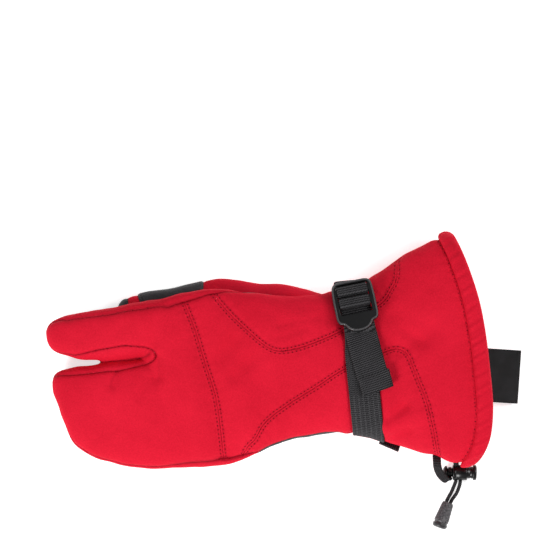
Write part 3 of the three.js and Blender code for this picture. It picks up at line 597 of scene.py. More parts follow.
def even_net(lofts):
    """The outer surface of all lofts together, as points and quads of about NET_SIZE."""
    points, faces, start = [], [], 0
    for grid in lofts:
        points.append(grid.reshape(-1, 3))
        faces += [[i + start for i in face] for face in capped_net(*grid.shape[:2])]
        start += len(points[-1])
    mesh = bpy.data.meshes.new("lofts")
    mesh.from_pydata(np.vstack(points).tolist(), [], faces)
    holder = put("lofts", mesh)
    remesh = holder.modifiers.new("even", "REMESH")
    remesh.mode = "VOXEL"
    remesh.voxel_size = NET_SIZE
    even = holder.evaluated_get(bpy.context.evaluated_depsgraph_get()).to_mesh()
    place = coordinates(even)
    corners = np.empty(len(even.loops), int)
    even.loops.foreach_get("vertex_index", corners)
    bpy.data.objects.remove(holder)
    bpy.data.meshes.remove(mesh)
    return place, corners.reshape(-1, 4)


def summed(index, values, count):
    """For each point, the sum of the values that are listed for it."""
    return np.stack([np.bincount(index, values[:, k], count) for k in range(3)], axis=1)


def relaxed(points, quads, rounds):
    """The net with each point moved halfway to the mean of its neighbours, rounds times over."""
    edges = np.concatenate([quads[:, [k, (k + 1) % 4]] for k in range(4)])
    count = np.bincount(edges[:, 0], minlength=len(points))[:, None]
    for _ in range(rounds):
        mean = summed(edges[:, 0], points[edges[:, 1]], len(points)) / count
        points = (points + mean) / 2
    return points


def net_normals(points, quads):
    """The outward direction at each point: the mean of its quads', each by its diagonals."""
    across = np.cross(points[quads[:, 2]] - points[quads[:, 0]], points[quads[:, 3]] - points[quads[:, 1]])
    return unit(summed(quads.ravel(), np.repeat(across, 4, axis=0), len(points)) + 1e-12)


hand, hand_quads = even_net([oval_rings(rows, stations_of(rows), LOFT_SIDES)
                             for rows in (pocket_rows, index_rows, body_rows)])
hand = relaxed(hand, hand_quads, 6)
hand[:, 2] = np.maximum(hand[:, 2], 0)


# Seams of the hand: each is sewn with two rows of red topstitching beside the joined edges, or,
# round the fingers and along the hand's sides, with one hidden row. The panels' edges lie on them.
knuckle_path = [(-64, 75), (-62.6, 57.8), (-57.5, 38.4), (-53, 14.6), (-48.4, -9.2), (-47.5, -34.8),
                (-48, -75)]
thumb_side_path = [(-48, 75), (-42.2, 58.5), (-32.3, 43.6), (-21.6, 30.9), (-12.4, 21.4),
                   (-3.4, 16.8), (10.2, 17.6), (25.5, 21.5), (39, 26.4), (65.2, 40.5),
                   (73.4, 49.4), (78.3, 59.7), (80, 85)]
heel_path = [(-44, -75), (-32.5, -47.5), (-25.7, -40.2), (-17, -28.9), (-0.4, -18.5), (18.9, -9),
             (38.9, 1.1), (66.1, 9.1), (72.1, 10.1), (76.2, 8.9), (79.9, 4.7), (84.3, -10.1),
             (89.2, -28.4), (91.8, -51.6), (93, -85)]
wrist_path = [(34, -90), (27, 0), (19, 90)]
palm_path = [(-50, -80), (-52, -30), (-50, 20), (-46, 80)]
fork_path = [(-170, 16), (-149.9, 15.8), (-140.5, 15.3), (-122.4, 15.3), (-107.6, 15.4),
             (-96.4, 16.7), (-90.3, 17.7), (-86.2, 20.1), (-84.8, 22.6), (-86.1, 25.8),
             (-89.7, 27.6), (-96.2, 29.4), (-103.8, 30.7), (-111.5, 30.4), (-119.8, 29.9),
             (-128.1, 28.9), (-134.3, 27.9), (-145.3, 28), (-170, 34)]
side_rows = np.array([
    # x, half height of the side wall, lift of its seams at the little finger and the index edge
    (-170, 1, 0, 0), (-155, 1.6, 0, 0), (-150, 3.6, -0.5, 0.4), (-141, 6.6, -1.8, 1.2),
    (-115, 7.6, -2.4, 1.8), (-90, 7.8, -2, 1.6), (-70, 7.5, -1, 1), (-50, 7, 0, 0), (-32, 4.2, 1, 0),
    (-21, 0, 4, 0), (0, 0, 5, 0), (32, 0, 5, 0), (42, 0, 3, 0), (56, 0, 0, 0), (150, 0, 0, 0)])
SIDE_WALL_END_X = -21
ON_SEAM = 0.01  # how near to a seam a point counts as lying on it


def beside(points, path, smooth=8):
    """For each point, seen from above, its distance from the path, positive on the left, and how
    far along the path the nearest place lies."""
    line = smooth_route(path, smooth * (len(path) - 1) + 1)
    step = np.diff(line, axis=0)
    run = (step**2).sum(1)
    best = np.full(len(points), 1e9)
    side, along = np.zeros(len(points)), np.zeros(len(points))
    start = lengths(line)
    for k in range(len(step)):
        from_start = points[:, :2] - line[k]
        share = np.clip(from_start @ step[k] / run[k], 0, 1)
        away = from_start - share[:, None] * step[k]
        gap = (away**2).sum(1)
        nearer = gap < best
        best[nearer] = gap[nearer]
        side[nearer] = (step[k, 0] * from_start[:, 1] - step[k, 1] * from_start[:, 0])[nearer]
        along[nearer] = (start[k] + share * math.sqrt(run[k]))[nearer]
    return np.sqrt(best) * np.where(side < 0, -1, 1), along


def side_of(points, path):
    """The distance from the path, positive on its left."""
    return beside(points, path)[0]


def side_seam(points, which):
    """Height above the side wall's upper seam (1), its lower seam (-1), or between them (0)."""
    x, y = points[:, 0], points[:, 1]
    x = x - cuff_bow(x, y)
    half = np.interp(x, side_rows[:, 0], side_rows[:, 1])
    lift = np.where(y < 0, np.interp(x, side_rows[:, 0], side_rows[:, 2]),
                    np.where(y > 40, np.interp(x, side_rows[:, 0], side_rows[:, 3]), 0))
    return points[:, 2] - middle_height(x, y) - lift - which * half


def lower_seam(points):
    """How far above the side wall's lower seam."""
    return side_seam(points, -1)


def upper_seam(points):
    """How far above the side wall's upper seam, or beside it in the fork, where the wall is cut
    wider, so that both its sides show from above."""
    height = side_seam(points, 1)
    near = (points[:, 0] < -80) & (points[:, 1] > 8) & (points[:, 1] < 38) & (height > -6)
    height[near] = np.minimum(height[near], -side_of(points[near], fork_path))
    return height


def settle(points, quads, seam, allowed=None):
    """Points close to a seam slide along the surface onto it, so that panels can part there."""
    normal = net_normals(points, quads)
    here = seam(points)
    slope = np.stack([seam(points + step) - here for step in 0.05 * np.eye(3)], axis=1) / 0.05
    slope -= normal * (slope * normal).sum(1)[:, None]
    steep = (slope**2).sum(1)
    close = (np.abs(here) < 0.62 * NET_SIZE * np.sqrt(steep)) & (steep > 0.04)
    if allowed is not None:
        close &= allowed
    moved = points.copy()
    moved[close] -= (here[close] / steep[close])[:, None] * slope[close]
    return moved


def cut_net(points, quads, chosen):
    """The chosen quads, with only the points that they use."""
    kept = np.unique(quads[chosen])
    return points[kept], np.searchsorted(kept, quads[chosen])


def past_cuff(points):
    """How far points lie beyond the cuff's mouth."""
    return points[:, 0] - cuff_bow(CUFF_X, points[:, 1]) - CUFF_X


back_paths = (knuckle_path, thumb_side_path, heel_path)
hand, hand_quads = cut_net(hand, hand_quads, (past_cuff(hand)[hand_quads] < SHELL_END).all(1))
hand = settle(hand, hand_quads, upper_seam)
hand = settle(hand, hand_quads, lower_seam)
on_back = upper_seam(hand) > -ON_SEAM
on_palm = lower_seam(hand) < ON_SEAM
for path in back_paths:
    hand = settle(hand, hand_quads, lambda p: side_of(p, path), on_back)
hand = settle(hand, hand_quads, lambda p: side_of(p, wrist_path), on_palm)
hand_normal = net_normals(hand, hand_quads)

# Materials of the hand: a fine-grained red softshell and a charcoal leather with soft creases. Both
# take their seams from the panels: how far a point is from the nearest stitched seam, how far along
# it, and how deep it lies in a crease. Painted shade darkens the seams' grooves, their stitch rows
# and needle holes, and the creases.
STITCH_OFFSET = 1.65
STITCH_PITCH = 2.7
NO_SEAM = 99.0
SHELL_RED = (0.67, 0.008, 0.030, 1)
SHELL_DEEP = (0.55, 0.005, 0.021, 1)
# The deepest painted shade of the softshell, in grooves, needle holes and creases.
SHELL_SHADE = (0.17, 0.001, 0.007, 1)
LEATHER_GREY = (0.034, 0.031, 0.034, 1)
LEATHER_DEEP = (0.014, 0.013, 0.015, 1)
# The deepest painted shade of the leather.
LEATHER_SHADE = (0.006, 0.006, 0.006, 1)


def stitched_seam(tree_name):
    """A shared group: from the distance to a seam and the way along it, the height of the sewn
    edges with their stitches, in millimetres, and how dark the painted shade is in the groove, along
    the row of stitches and in the needle holes."""
    group = bpy.data.node_groups.new(tree_name, "ShaderNodeTree")
    sockets = {"INPUT": ("Distance", "Along", "Offset", "Pitch"), "OUTPUT": ("Height", "Dark")}
    for way, names in sockets.items():
        for name in names:
            group.interface.new_socket(name=name, in_out=way, socket_type="NodeSocketFloat")
    steps = Steps(group)
    given = group.nodes.new("NodeGroupInput").outputs
    away, run, offset, pitch = (Value(steps, given[name]) for name in sockets["INPUT"])
    groove = steps.step(away, 0.1, 0.4, 1.0, 0.0)
    row = steps.step(abs(away - offset), 0.15, 0.6, 1.0, 0.0)
    hole = steps.step(steps.off_middle(run, pitch), 0.26, 0.40)
    edge = steps.step(away, offset - 0.2, offset + 1.2, 1.0, 0.0)
    results = group.nodes.new("NodeGroupOutput").inputs
    steps.feed(results["Height"], edge * 0.5 - row * (hole * 0.35 + 0.2) - groove * 0.18)
    # Painted shade: the groove at the seam, the row of stitches and, darkest, its needle holes.
    steps.feed(results["Dark"], steps.math("MAXIMUM", groove * 0.14, row * (hole * 0.62 + 0.2)))
    return group


seam_group = stitched_seam("stitched_seam")


def sewn(finish, grain, plain, shade_colour):
    """Adds seams and creases to a finish that has its grain, a height in millimetres, and its plain
    colour. The last argument is the colour of painted shade in the depth of creases, in the seams'
    grooves and in needle holes."""
    seam = finish.node("Group", {"node_tree": seam_group}, Distance=finish.mark("stitch_away"),
                       Along=finish.mark("stitch_along"), Offset=STITCH_OFFSET, Pitch=STITCH_PITCH)
    height, dark = (Value(finish, seam.outputs[name]) for name in ("Height", "Dark"))
    # Painted shade in the seam's groove, its stitch rows and needle holes, and in the creases.
    finish.paint(finish.math("MAXIMUM", dark, finish.mark("crease") * 0.6), plain, shade_colour)
    finish.relief(height + grain, 0.001)


softshell = Finish("softshell", "softshell_red", Roughness=0.8, Specular_IOR_Level=0.09)
fleck = softshell.noise(1100)
mottle = softshell.noise(22, 4) * 0.5 + fleck * 0.5
sewn(softshell, fleck * 0.22 + softshell.noise(420, 3) * 0.2,
     softshell.colour(softshell.step(mottle, 0.3, 0.7), SHELL_DEEP, SHELL_RED), SHELL_SHADE)

leather = Finish("creased_leather", "leather_black", Roughness=0.48, Specular_IOR_Level=0.3)
pores = leather.output("TexVoronoi", "Distance", {"feature": "DISTANCE_TO_EDGE"},
                       Vector=leather.output("TexCoord", "Object"), Scale=520)
cell = leather.step(pores, 0.0, 0.12)
tone = leather.step(leather.noise(45, 5, 0.6), 0.3, 0.7, 0.45, 1.0) * (cell * 0.35 + 0.65)
sewn(leather, cell * 0.10 + leather.noise(150, 4, 0.6) * 0.35,
     leather.colour(tone, LEATHER_DEEP, LEATHER_GREY), LEATHER_SHADE)

# Relief of the hand's surface: padding that swells between the seams, puckers along them, folds
# worn into the back, and the webbing strap that presses its edges up out of the padding.
SEAM_DEPTH = 0.9
SEAM_REACH = 4.0
STRAP_X = 49
STRAP_HALF = 10
PUCKER_PITCH = 6.4
GATHER_PITCH = 5
TAPE_SEWN = (91.5, -67)
TUCK_DEPTH = 2.4
TUCK_REACH = 6
folds = np.array([
    # x, y of one end, x, y of the other, half width, depth
    (-112, 14, -115, 6, 3.5, 1.7), (-84, 20, -84, 8, 4, 2), (-57, 62, -43, -52, 9, 1.2),
    (-36, 21, -18, -1, 9, 1.3), (76, 12, 97, 20, 8, 2.2), (61, -39, 84, -35, 7, -2),
    (-42.4, 15.3, -30.8, 27.1, 5, 1.5), (-34.8, 3.4, -18.7, 15.9, 5, 1.5),
    (63.1, -34.9, 74.4, -28.1, 3.5, 2), (64.5, -47, 75.4, -44.1, 3, 1.5),
    (68, 34, 88, 27, 6, 1.3), (-6, 26, 16, 30, 3, 0.6), (-2, 34, 24, 36, 3, 0.6),
    (-92, 8, -98, -4, 3, 0.8), (80, 22, 90, 13, 4.5, 1.6)])
# Fine creases that are not in the relief: each is only a line of painted shade.
shaded_creases = [
    # a fine crease's path, seen from above, and how dark its painted shade is
    ([(-122, 21.6), (-113.6, 21.1), (-102.6, 21), (-92.6, 22), (-88.4, 23.7)], 1.0),
    ([(-116.4, 5.5), (-115, 9.5), (-112.6, 13), (-109.5, 15)], 0.4),
    ([(-84.6, 6), (-84, 12), (-83.4, 19)], 0.25)]


def fold_depth(points):
    """How deep the folds are at each point, each fading out from its line as a bell."""
    depth = np.zeros(len(points))
    for x0, y0, x1, y1, width, deep in folds:
        step = np.array([x1 - x0, y1 - y0])
        from_start = points[:, :2] - (x0, y0)
        share = np.clip(from_start @ step / (step @ step), 0, 1)
        away = np.linalg.norm(from_start - share[:, None] * step, axis=1)
        depth += deep * np.exp(-((away / width) ** 2))
    return depth


def swell(points, size, seed):
    """Soft, uneven waves of about that size, between -1 and 1."""
    waves = np.random.default_rng(seed).normal(size=(9, 3)) * 2 * np.pi / size / 1.7
    phase = np.arange(9) * 2.1
    return np.sin(points @ waves.T + phase).sum(1) / 4.5


def bell(value, width):
    """A bell curve, 1 at 0 and spread by width."""
    return np.exp(-((value / width) ** 2))


def nearest_seam(points, paths):
    """The distance to the nearest of the paths, seen from above, and the way along it."""
    away, along = np.full(len(points), NO_SEAM), np.zeros(len(points))
    for path in paths:
        side, run = beside(points, path)
        closer = np.abs(side) < away
        away[closer] = np.abs(side)[closer]
        along[closer] = run[closer]
    return away, along


side_gap = np.minimum(np.abs(upper_seam(hand)), np.abs(lower_seam(hand)))
back_away, back_along = nearest_seam(hand, back_paths)
palm_away, palm_along = nearest_seam(hand, (palm_path, wrist_path))
stitch_away = np.where(on_back, back_away, np.where(on_palm, palm_away, NO_SEAM))
stitch_along = np.where(on_back, back_along, palm_along)
hem_away = np.abs(past_cuff(hand) + 0.5) + STITCH_OFFSET
stitch_along = np.where(hem_away < stitch_away, hand[:, 1] * 1.08, stitch_along)
stitch_away = np.minimum(stitch_away, hem_away)
# Crease marks, which the materials paint as shade: along the side wall's seams, where the panels meet, and
# along the fine creases.
crease = bell(side_gap, 0.7) * (hand[:, 0] < 60)
for path, dark in shaded_creases:
    near = (hand[:, 2] > 20) & (hand[:, 0] > path[0][0] - 1) & (hand[:, 0] < path[-1][0] + 1)
    crease[near] = np.maximum(crease[near], dark * bell(side_of(hand[near], path), 0.85))
seam_lift = (-SEAM_DEPTH * bell(stitch_away, SEAM_REACH) - 0.6 * bell(side_gap, 1.3)
             + 0.16 * np.sin(2 * np.pi * stitch_along / PUCKER_PITCH) * np.exp(-np.abs(stitch_away - 3) / 3))
beside_strap = np.abs(hand[:, 0] - STRAP_X) - STRAP_HALF
strap_lift = (1.0 * bell(beside_strap - 4.5, 4.5) - 0.3 * (beside_strap < 0)) * (hand[:, 2] > 6)
gathers = (0.3 * np.sin(2 * np.pi * hand[:, 1] / GATHER_PITCH + 2 * swell(hand, 30, 8))
           * bell(hand[:, 0] - 52, 8) * on_palm)
tape_tuck = TUCK_DEPTH * bell(np.linalg.norm(hand[:, :2] - TAPE_SEWN, axis=1), TUCK_REACH)
relief = (seam_lift + strap_lift + gathers - tape_tuck - fold_depth(hand) * on_back
          + 0.45 * swell(hand, 34, 3) + 0.16 * swell(hand, 11, 5))
shell_outer = hand + hand_normal * relief[:, None]
shell_outer[:, 2] = np.maximum(shell_outer[:, 2], FLOOR)
shell_inner = hand - hand_normal * SHELL_WALL


def split_quads(quads, points, values):
    """Two triangles for each quad, parted along a seam where one crosses it and else along its
    shorter diagonal. values holds, for each seam, how far each point is from it."""
    first = np.linalg.norm(points[quads[:, 2]] - points[quads[:, 0]], axis=1)
    second = np.linalg.norm(points[quads[:, 3]] - points[quads[:, 1]], axis=1)
    along_first = first <= second
    for value in values:
        corner = np.abs(value[quads])
        crossed = (value[quads].min(1) < -0.02) & (value[quads].max(1) > 0.02)
        on_first = corner[:, 0] + corner[:, 2] <= corner[:, 1] + corner[:, 3]
        along_first = np.where(crossed, on_first, along_first)
    split = np.where(along_first[:, None], quads[:, [0, 1, 2, 0, 2, 3]], quads[:, [1, 2, 3, 1, 3, 0]])
    return split.reshape(-1, 3)


def set_marks(piece, **marks):
    """Stores values for each of a piece's points, which its material reads."""
    for key, values in marks.items():
        place = piece.data.attributes.new(key, "FLOAT", "POINT")
        place.data.foreach_set("value", np.ravel(values).astype(np.float32))


def panel(name, outer, inner, faces, finish, marks):
    """A panel with its thickness: its outer faces, the lining side behind them and the cut edge.
    marks are its distance from a seam, the way along that and its creases, on the outer side."""
    used = np.unique(faces)
    local = np.searchsorted(used, faces)
    count = len(used)
    start = local.ravel()
    end = np.roll(local, -1, axis=1).ravel()
    rim = ~np.isin(start.astype(np.int64) * count + end, end.astype(np.int64) * count + start)
    start, end = start[rim], end[rim]
    points = np.vstack([outer[used], inner[used]])
    cut = np.stack([end, start, start + count, end + count], axis=1)
    net = local.tolist() + (local[:, ::-1] + count).tolist() + cut.tolist()
    piece = piece_from(name, points, net, finish)
    away, along, crease = (np.append(values[used], np.full(count, inside))
                           for values, inside in zip(marks, (NO_SEAM, 0.0, 0.0)))
    set_marks(piece, stitch_away=away, stitch_along=along, crease=crease)


seam_values = [upper_seam(hand), lower_seam(hand)]
seam_values += [np.where(on_back, side_of(hand, path), 1) for path in back_paths]
seam_values.append(np.where(on_palm, side_of(hand, wrist_path), 1))
hand_faces = split_quads(hand_quads, hand, seam_values)
centre = hand[hand_faces].mean(1)
is_wall = (centre[:, 0] < SIDE_WALL_END_X) & (upper_seam(centre) < 0) & (lower_seam(centre) > 0)
is_back = ~is_wall & (side_seam(centre, 0) > 0)
is_palm = ~is_wall & ~is_back
is_finger = is_back & (side_of(centre, knuckle_path) < 0)
is_insert = is_back & ~is_finger & (side_of(centre, thumb_side_path) > 0)
is_heel = is_back & ~is_finger & ~is_insert & (side_of(centre, heel_path) < 0)
is_gauntlet = is_palm & (side_of(centre, wrist_path) < 0)
hand_panels = {
    "finger_back": (is_finger, softshell),
    "hand_back": (is_back & ~is_finger & ~is_insert & ~is_heel, softshell),
    "thumb_side_insert": (is_insert, softshell),
    "heel_insert": (is_heel, softshell),
    "side_wall": (is_wall, softshell),
    "gauntlet_palm": (is_gauntlet, softshell),
    "palm_leather": (is_palm & ~is_gauntlet, leather)}
for name, (chosen, finish) in hand_panels.items():
    panel(name, shell_outer, shell_inner, hand_faces[chosen], finish, (stitch_away, stitch_along, crease))

# Thumb: a sleeve that lies folded under the index side, leather over its inner face and its tip,
# softshell on its back, with a half-moon leather patch sewn on the back. Its root opens into the
# hand, so that the part of it inside the hand's outer form is left away.
THUMB_WALL = 3.4
TIP_BAND_X = -100
ROOT_DEPTH = 0.7  # how deep in the hand's form the thumb still goes on
PATCH_CENTRE = (-71.2, 66.4)
PATCH_HALF = (22.3, 21)
PATCH_THICK = 0.9
PATCH_STITCH = 2.2  # from the patch's edge to its row of stitches
PATCH_LEAST = 0.6  # the patch's thickness where it is pressed flat on the surface
thumb_rows = np.array([
    # x, lower edge, upper edge, half thickness, height of the middle at the two edges
    (-108, 46, 54, 3, 7.6, 7.8), (-106, 42, 58.5, 5, 7.4, 8), (-102, 38.8, 61.4, 6.6, 7, 8.3),
    (-95, 36.4, 62.8, 7.4, 6.8, 8.6), (-84, 34.6, 64, 7.8, 6.6, 9), (-68, 32, 64.6, 8, 6.6, 9.2),
    (-50, 28, 67, 8.2, 6.8, 9.6), (-40, 25.6, 68, 8.6, 7.2, 10), (-28, 22, 66.6, 9.4, 8.4, 11),
    (-14, 18.6, 62.8, 10.8, 11, 13), (2, 15.4, 60.6, 12, 14, 15.6), (16, 14, 56, 12, 17, 18),
    (30, 15, 50, 10.5, 19, 20), (40, 18, 46, 8, 20, 20)])


def thumb_height(x, y, low_lift=0.0, high_lift=0.0):
    """The thumb's middle height, or the height of its seam with the seam's lift at each edge."""
    low, high, _, at_low, at_high = smooth_rows(thumb_rows, np.ravel(x)).T
    share = (np.ravel(y) - low) / (high - low)
    return (at_low + low_lift + (at_high + high_lift - at_low - low_lift) * share).reshape(np.shape(y))


def thumb_seam(points):
    """How far above the seam between the thumb's leather and its back."""
    return points[:, 2] - thumb_height(points[:, 0], points[:, 1], -3, 15)


def within_hand(points):
    """How deep points lie in the hand's form: 1 on its surface and less inside it."""
    least = np.full(len(points), 9.0)
    for rows in (pocket_rows, index_rows, body_rows):
        low, high, thick = smooth_rows(rows, points[:, 0]).T
        across = np.abs(2 * points[:, 1] - low - high) / (high - low)
        above = np.abs(points[:, 2] - middle_height(points[:, 0], points[:, 1])) / thick
        inside = (points[:, 0] >= rows[0, 0]) & (points[:, 0] <= rows[-1, 0])
        least = np.where(inside, np.minimum(least, across**ROUNDNESS + above**ROUNDNESS), least)
    return least


def patch_seam(points):
    """How far outside the half-moon patch, seen from above."""
    oval_x = (points[:, 0] - PATCH_CENTRE[0]) / PATCH_HALF[0]
    oval_y = (points[:, 1] - PATCH_CENTRE[1]) / PATCH_HALF[1]
    return (np.sqrt(oval_x**2 + oval_y**2) - 1) * PATCH_HALF[1]


def tip_seam(points):
    """How far behind the leather band round the thumb's tip."""
    return points[:, 0] - TIP_BAND_X


thumb_grid = oval_rings(thumb_rows, stations_of(thumb_rows), LOFT_SIDES,
                        lambda x, y: thumb_height(np.broadcast_to(x, y.shape), y))
thumb, thumb_quads = even_net([thumb_grid])
thumb = relaxed(thumb, thumb_quads, 4)
thumb[:, 2] = np.maximum(thumb[:, 2], 0)
thumb, thumb_quads = cut_net(thumb, thumb_quads, (within_hand(thumb)[thumb_quads] > ROOT_DEPTH).any(1))
thumb = settle(thumb, thumb_quads, thumb_seam)
below_seam = thumb_seam(thumb) < ON_SEAM
for seam in (patch_seam, tip_seam):
    thumb = settle(thumb, thumb_quads, seam, below_seam)
thumb_normal = net_normals(thumb, thumb_quads)
off_patch = patch_seam(thumb)
thumb_faces = split_quads(thumb_quads, thumb, [thumb_seam(thumb), off_patch, tip_seam(thumb)])
centre = thumb[thumb_faces].mean(1)
is_back = (thumb_seam(centre) < 0) & (tip_seam(centre) > 0)
is_patch = is_back & (patch_seam(centre) < 0)
in_patch = (off_patch < ON_SEAM) & below_seam
from_seam = np.minimum(np.abs(thumb_seam(thumb)), np.abs(tip_seam(thumb)))
thumb_relief = (-0.6 * bell(from_seam, 1.4) + 0.3 * swell(thumb, 24, 11) + 0.12 * swell(thumb, 9, 12)
                - 0.3 * bell(off_patch, 1.2) * below_seam)
thumb_outer = thumb + thumb_normal * thumb_relief[:, None]
thumb_outer[:, 2] = np.maximum(thumb_outer[:, 2], np.where(in_patch, PATCH_LEAST, FLOOR))
thumb_inner = thumb - thumb_normal * THUMB_WALL
patch_round = 0.4 + 0.6 * np.clip(-off_patch / 1.2, 0, 1) ** 0.5
patch_outer = thumb_outer + thumb_normal * (PATCH_THICK * patch_round)[:, None]
patch_outer[:, 2] = np.maximum(patch_outer[:, 2], FLOOR)
patch_away = np.where(in_patch, np.abs(-off_patch - PATCH_STITCH) + STITCH_OFFSET, NO_SEAM)
patch_along = np.arctan2(thumb[:, 1] - PATCH_CENTRE[1], thumb[:, 0] - PATCH_CENTRE[0]) * PATCH_HALF[0]
plain = np.zeros(len(thumb))
# The thumb's seams, where its panels meet, are darkened with painted shade.
thumb_marks = (plain + NO_SEAM, plain, bell(from_seam, 0.7))
panel("thumb_leather", thumb_outer, thumb_inner, thumb_faces[~is_back], leather, thumb_marks)
panel("thumb_back", thumb_outer, thumb_inner, thumb_faces[is_back], softshell, thumb_marks)
panel("thumb_patch", patch_outer, thumb_outer, thumb_faces[is_patch], leather,
      (patch_away, patch_along, plain))

# Hem: a padded roll of softshell round the cuff's mouth, drawn in by the cord inside it, so that it
# is gathered aslant. One row of topstitching on the panels holds its inner edge.
HEM_THICK = 8.6
HEM_WIDTH = 11
HEM_GAP = 0.3
HEM_SLANT = 0.45  # how far the gathers run round the cuff for each millimetre of their length
LONG_GATHER = 7.1
SHORT_GATHER = 4.3
HEM_RINGS = 640
HEM_SIDES = 40
hem_ends = (CUFF_MIDDLE_Y - CUFF_HALF + 1, CUFF_MIDDLE_Y + CUFF_HALF - 1, 19.4)
hem_rows = np.array([(CUFF_X - 1, *hem_ends), (CUFF_X + 1, *hem_ends)])
dense = oval_rings(hem_rows, np.array([CUFF_X]), 4000)[0]
dense_run = lengths(np.vstack([dense, dense[:1]])[:, 1:])
hem_run = dense_run[-1] * np.arange(HEM_RINGS) / HEM_RINGS
hem_y = np.interp(hem_run, dense_run, np.append(dense[:, 1], dense[0, 1]))
hem_z = np.interp(hem_run, dense_run, np.append(dense[:, 2], dense[0, 2]))
hem_ahead = unit(np.stack([np.roll(hem_y, -3) - np.roll(hem_y, 3),
                           np.roll(hem_z, -3) - np.roll(hem_z, 3)], axis=1))
hem_out_y, hem_out_z = hem_ahead[:, 1, None], -hem_ahead[:, 0, None]
hem_turn = full_turn(HEM_SIDES)[None]
hem_radial = oval(np.cos(hem_turn)) * HEM_THICK / 2
hem_lengthwise = oval(np.sin(hem_turn)) * HEM_WIDTH / 2
hem_slant = hem_run[:, None] + HEM_SLANT * hem_lengthwise
uneven = swell(np.stack([hem_run, hem_y, hem_z], axis=1), 46, 21)[:, None]
hem_gather = (0.28 * np.sin(2 * np.pi * hem_slant / LONG_GATHER + 2.2 * uneven)
              + 0.18 * np.sin(2 * np.pi * hem_slant / SHORT_GATHER + 3.1 * uneven) + 0.35 * uneven)
hem_swell = 1 + hem_gather / (HEM_THICK / 2)
y = hem_y[:, None] + hem_out_y * hem_radial * hem_swell
z = hem_z[:, None] + hem_out_z * hem_radial * hem_swell
x = CUFF_X + cuff_bow(CUFF_X, y) + HEM_GAP + HEM_WIDTH / 2 + hem_lengthwise + 0.25 * uneven
hem_grid = np.stack([x, y, np.maximum(z, FLOOR)], axis=-1)
hem_net = ring_net(HEM_RINGS + 1, HEM_SIDES) % (HEM_RINGS * HEM_SIDES)
hem = piece_from("hem", hem_grid.reshape(-1, 3), hem_net.tolist(), softshell)
# The hollows between the gathers are darkened with painted shade.
set_marks(hem, stitch_away=NO_SEAM + 0 * y, stitch_along=0 * y,
          crease=0.5 * np.clip(-hem_gather - 0.25, 0, 1))

# Wrist strap: black webbing. It is sewn down at the little finger edge, runs over the wrist and
# under the buckle, round the strap bar, and back over itself to a folded, stitched tail end.
RAIL_X = STRAP_X
RAIL_LIFT = 1.05
WEB_WIDTH = 20.3
WEB_THICK = 1.5
WEB_WEAVE = (1.0, 1.36)  # the width of a rib and of a pick
LAYER_GAP = 0.3
BUCKLE_ANGLE = 50.5
BUCKLE_SLOPE = math.radians(-15)
BUCKLE_TURN = math.radians(5.5)
BUCKLE_THICK = 3
TAIL_TURN = math.radians(8)
STRAP_BAR = (0.65, 4.25)
ANCHOR_BAR = (8.4, 11.9)
RIM_LOW = 14.5
TAB_HIGH = -5.5
SLOT_HALF = 10.4
TAIL_END = -58
TAIL_FOLD = 11.5
SEWN_ROWS = 3.1
SEWN_PITCH = 2.4
SEWN_END_Y = -17
WEB_BEND = 0.85
THREAD_GREY = (0.058, 0.056, 0.06, 1)
BUCKLE_LOW = 2 * WEB_THICK + 2 * LAYER_GAP
LOWER_LAYER = WEB_THICK / 2
UPPER_LAYER = WEB_THICK + LAYER_GAP + WEB_THICK / 2
BAR_LAYER = BUCKLE_LOW + BUCKLE_THICK + LAYER_GAP + WEB_THICK / 2
BAR_CLEAR = LAYER_GAP + WEB_THICK / 2
under_angles = [188, 180, 172, 160, 145, 128, 110, 92, 76]
down_angles = [-6, -12]
buckle_run = [(-14, 0), (-7, 0), (0, 0), (5, 0), (10, 0), (14, 0), (15.5, 0), (17, 2), (16.9, 5.8)]
KNOTS = len(under_angles) + len(buckle_run) + len(down_angles)
SEAT_SHARE = (len(under_angles) + buckle_run.index((0, 0))) / (KNOTS - 1)


def on_wrist(x, degrees):
    """A point just off the wrist at x, at that angle of its section, as y and z."""
    low, high, thick = (np.interp(x, body_rows[:, 0], body_rows[:, k]) for k in (1, 2, 3))
    angle = math.radians(degrees)
    y = (low + high) / 2 + ((high - low) / 2 + RAIL_LIFT) * oval(math.cos(angle))
    z = middle_height(x, y) + (thick + RAIL_LIFT) * oval(math.sin(angle))
    return np.stack([y, z], axis=-1)


seat = on_wrist(RAIL_X, BUCKLE_ANGLE)


def rail_at(x, t):
    """The line that the webbing follows at x, one share t for each: along the wrist, straight
    under the buckle, and down on the thumb side."""
    along_buckle = [seat + (v * math.cos(BUCKLE_SLOPE), v * math.sin(BUCKLE_SLOPE) - drop)
                    for v, drop in buckle_run]
    knots = ([on_wrist(x, angle) for angle in under_angles]
             + [np.broadcast_to(point, (len(x), 2)) for point in along_buckle]
             + [on_wrist(x, angle) for angle in down_angles])
    knots = np.stack([knots[0]] + knots + [knots[-1]])
    t = t * (KNOTS - 1)
    k = np.clip(t.astype(int), 0, KNOTS - 2)
    each = np.arange(len(x))
    return cubic(*(knots[k + i, each] for i in range(4)), (t - k)[:, None])


shares = np.linspace(0, 1, 2401)
rail_run = lengths(rail_at(np.full(len(shares), float(RAIL_X)), shares))
seat_distance = np.interp(SEAT_SHARE, shares, rail_run)
wide_run = lengths(rail_at(np.full(len(shares), RAIL_X + 10.0), shares))
WRIST_FLARE = (np.interp(SEAT_SHARE, shares, wide_run) / seat_distance - 1) / 10


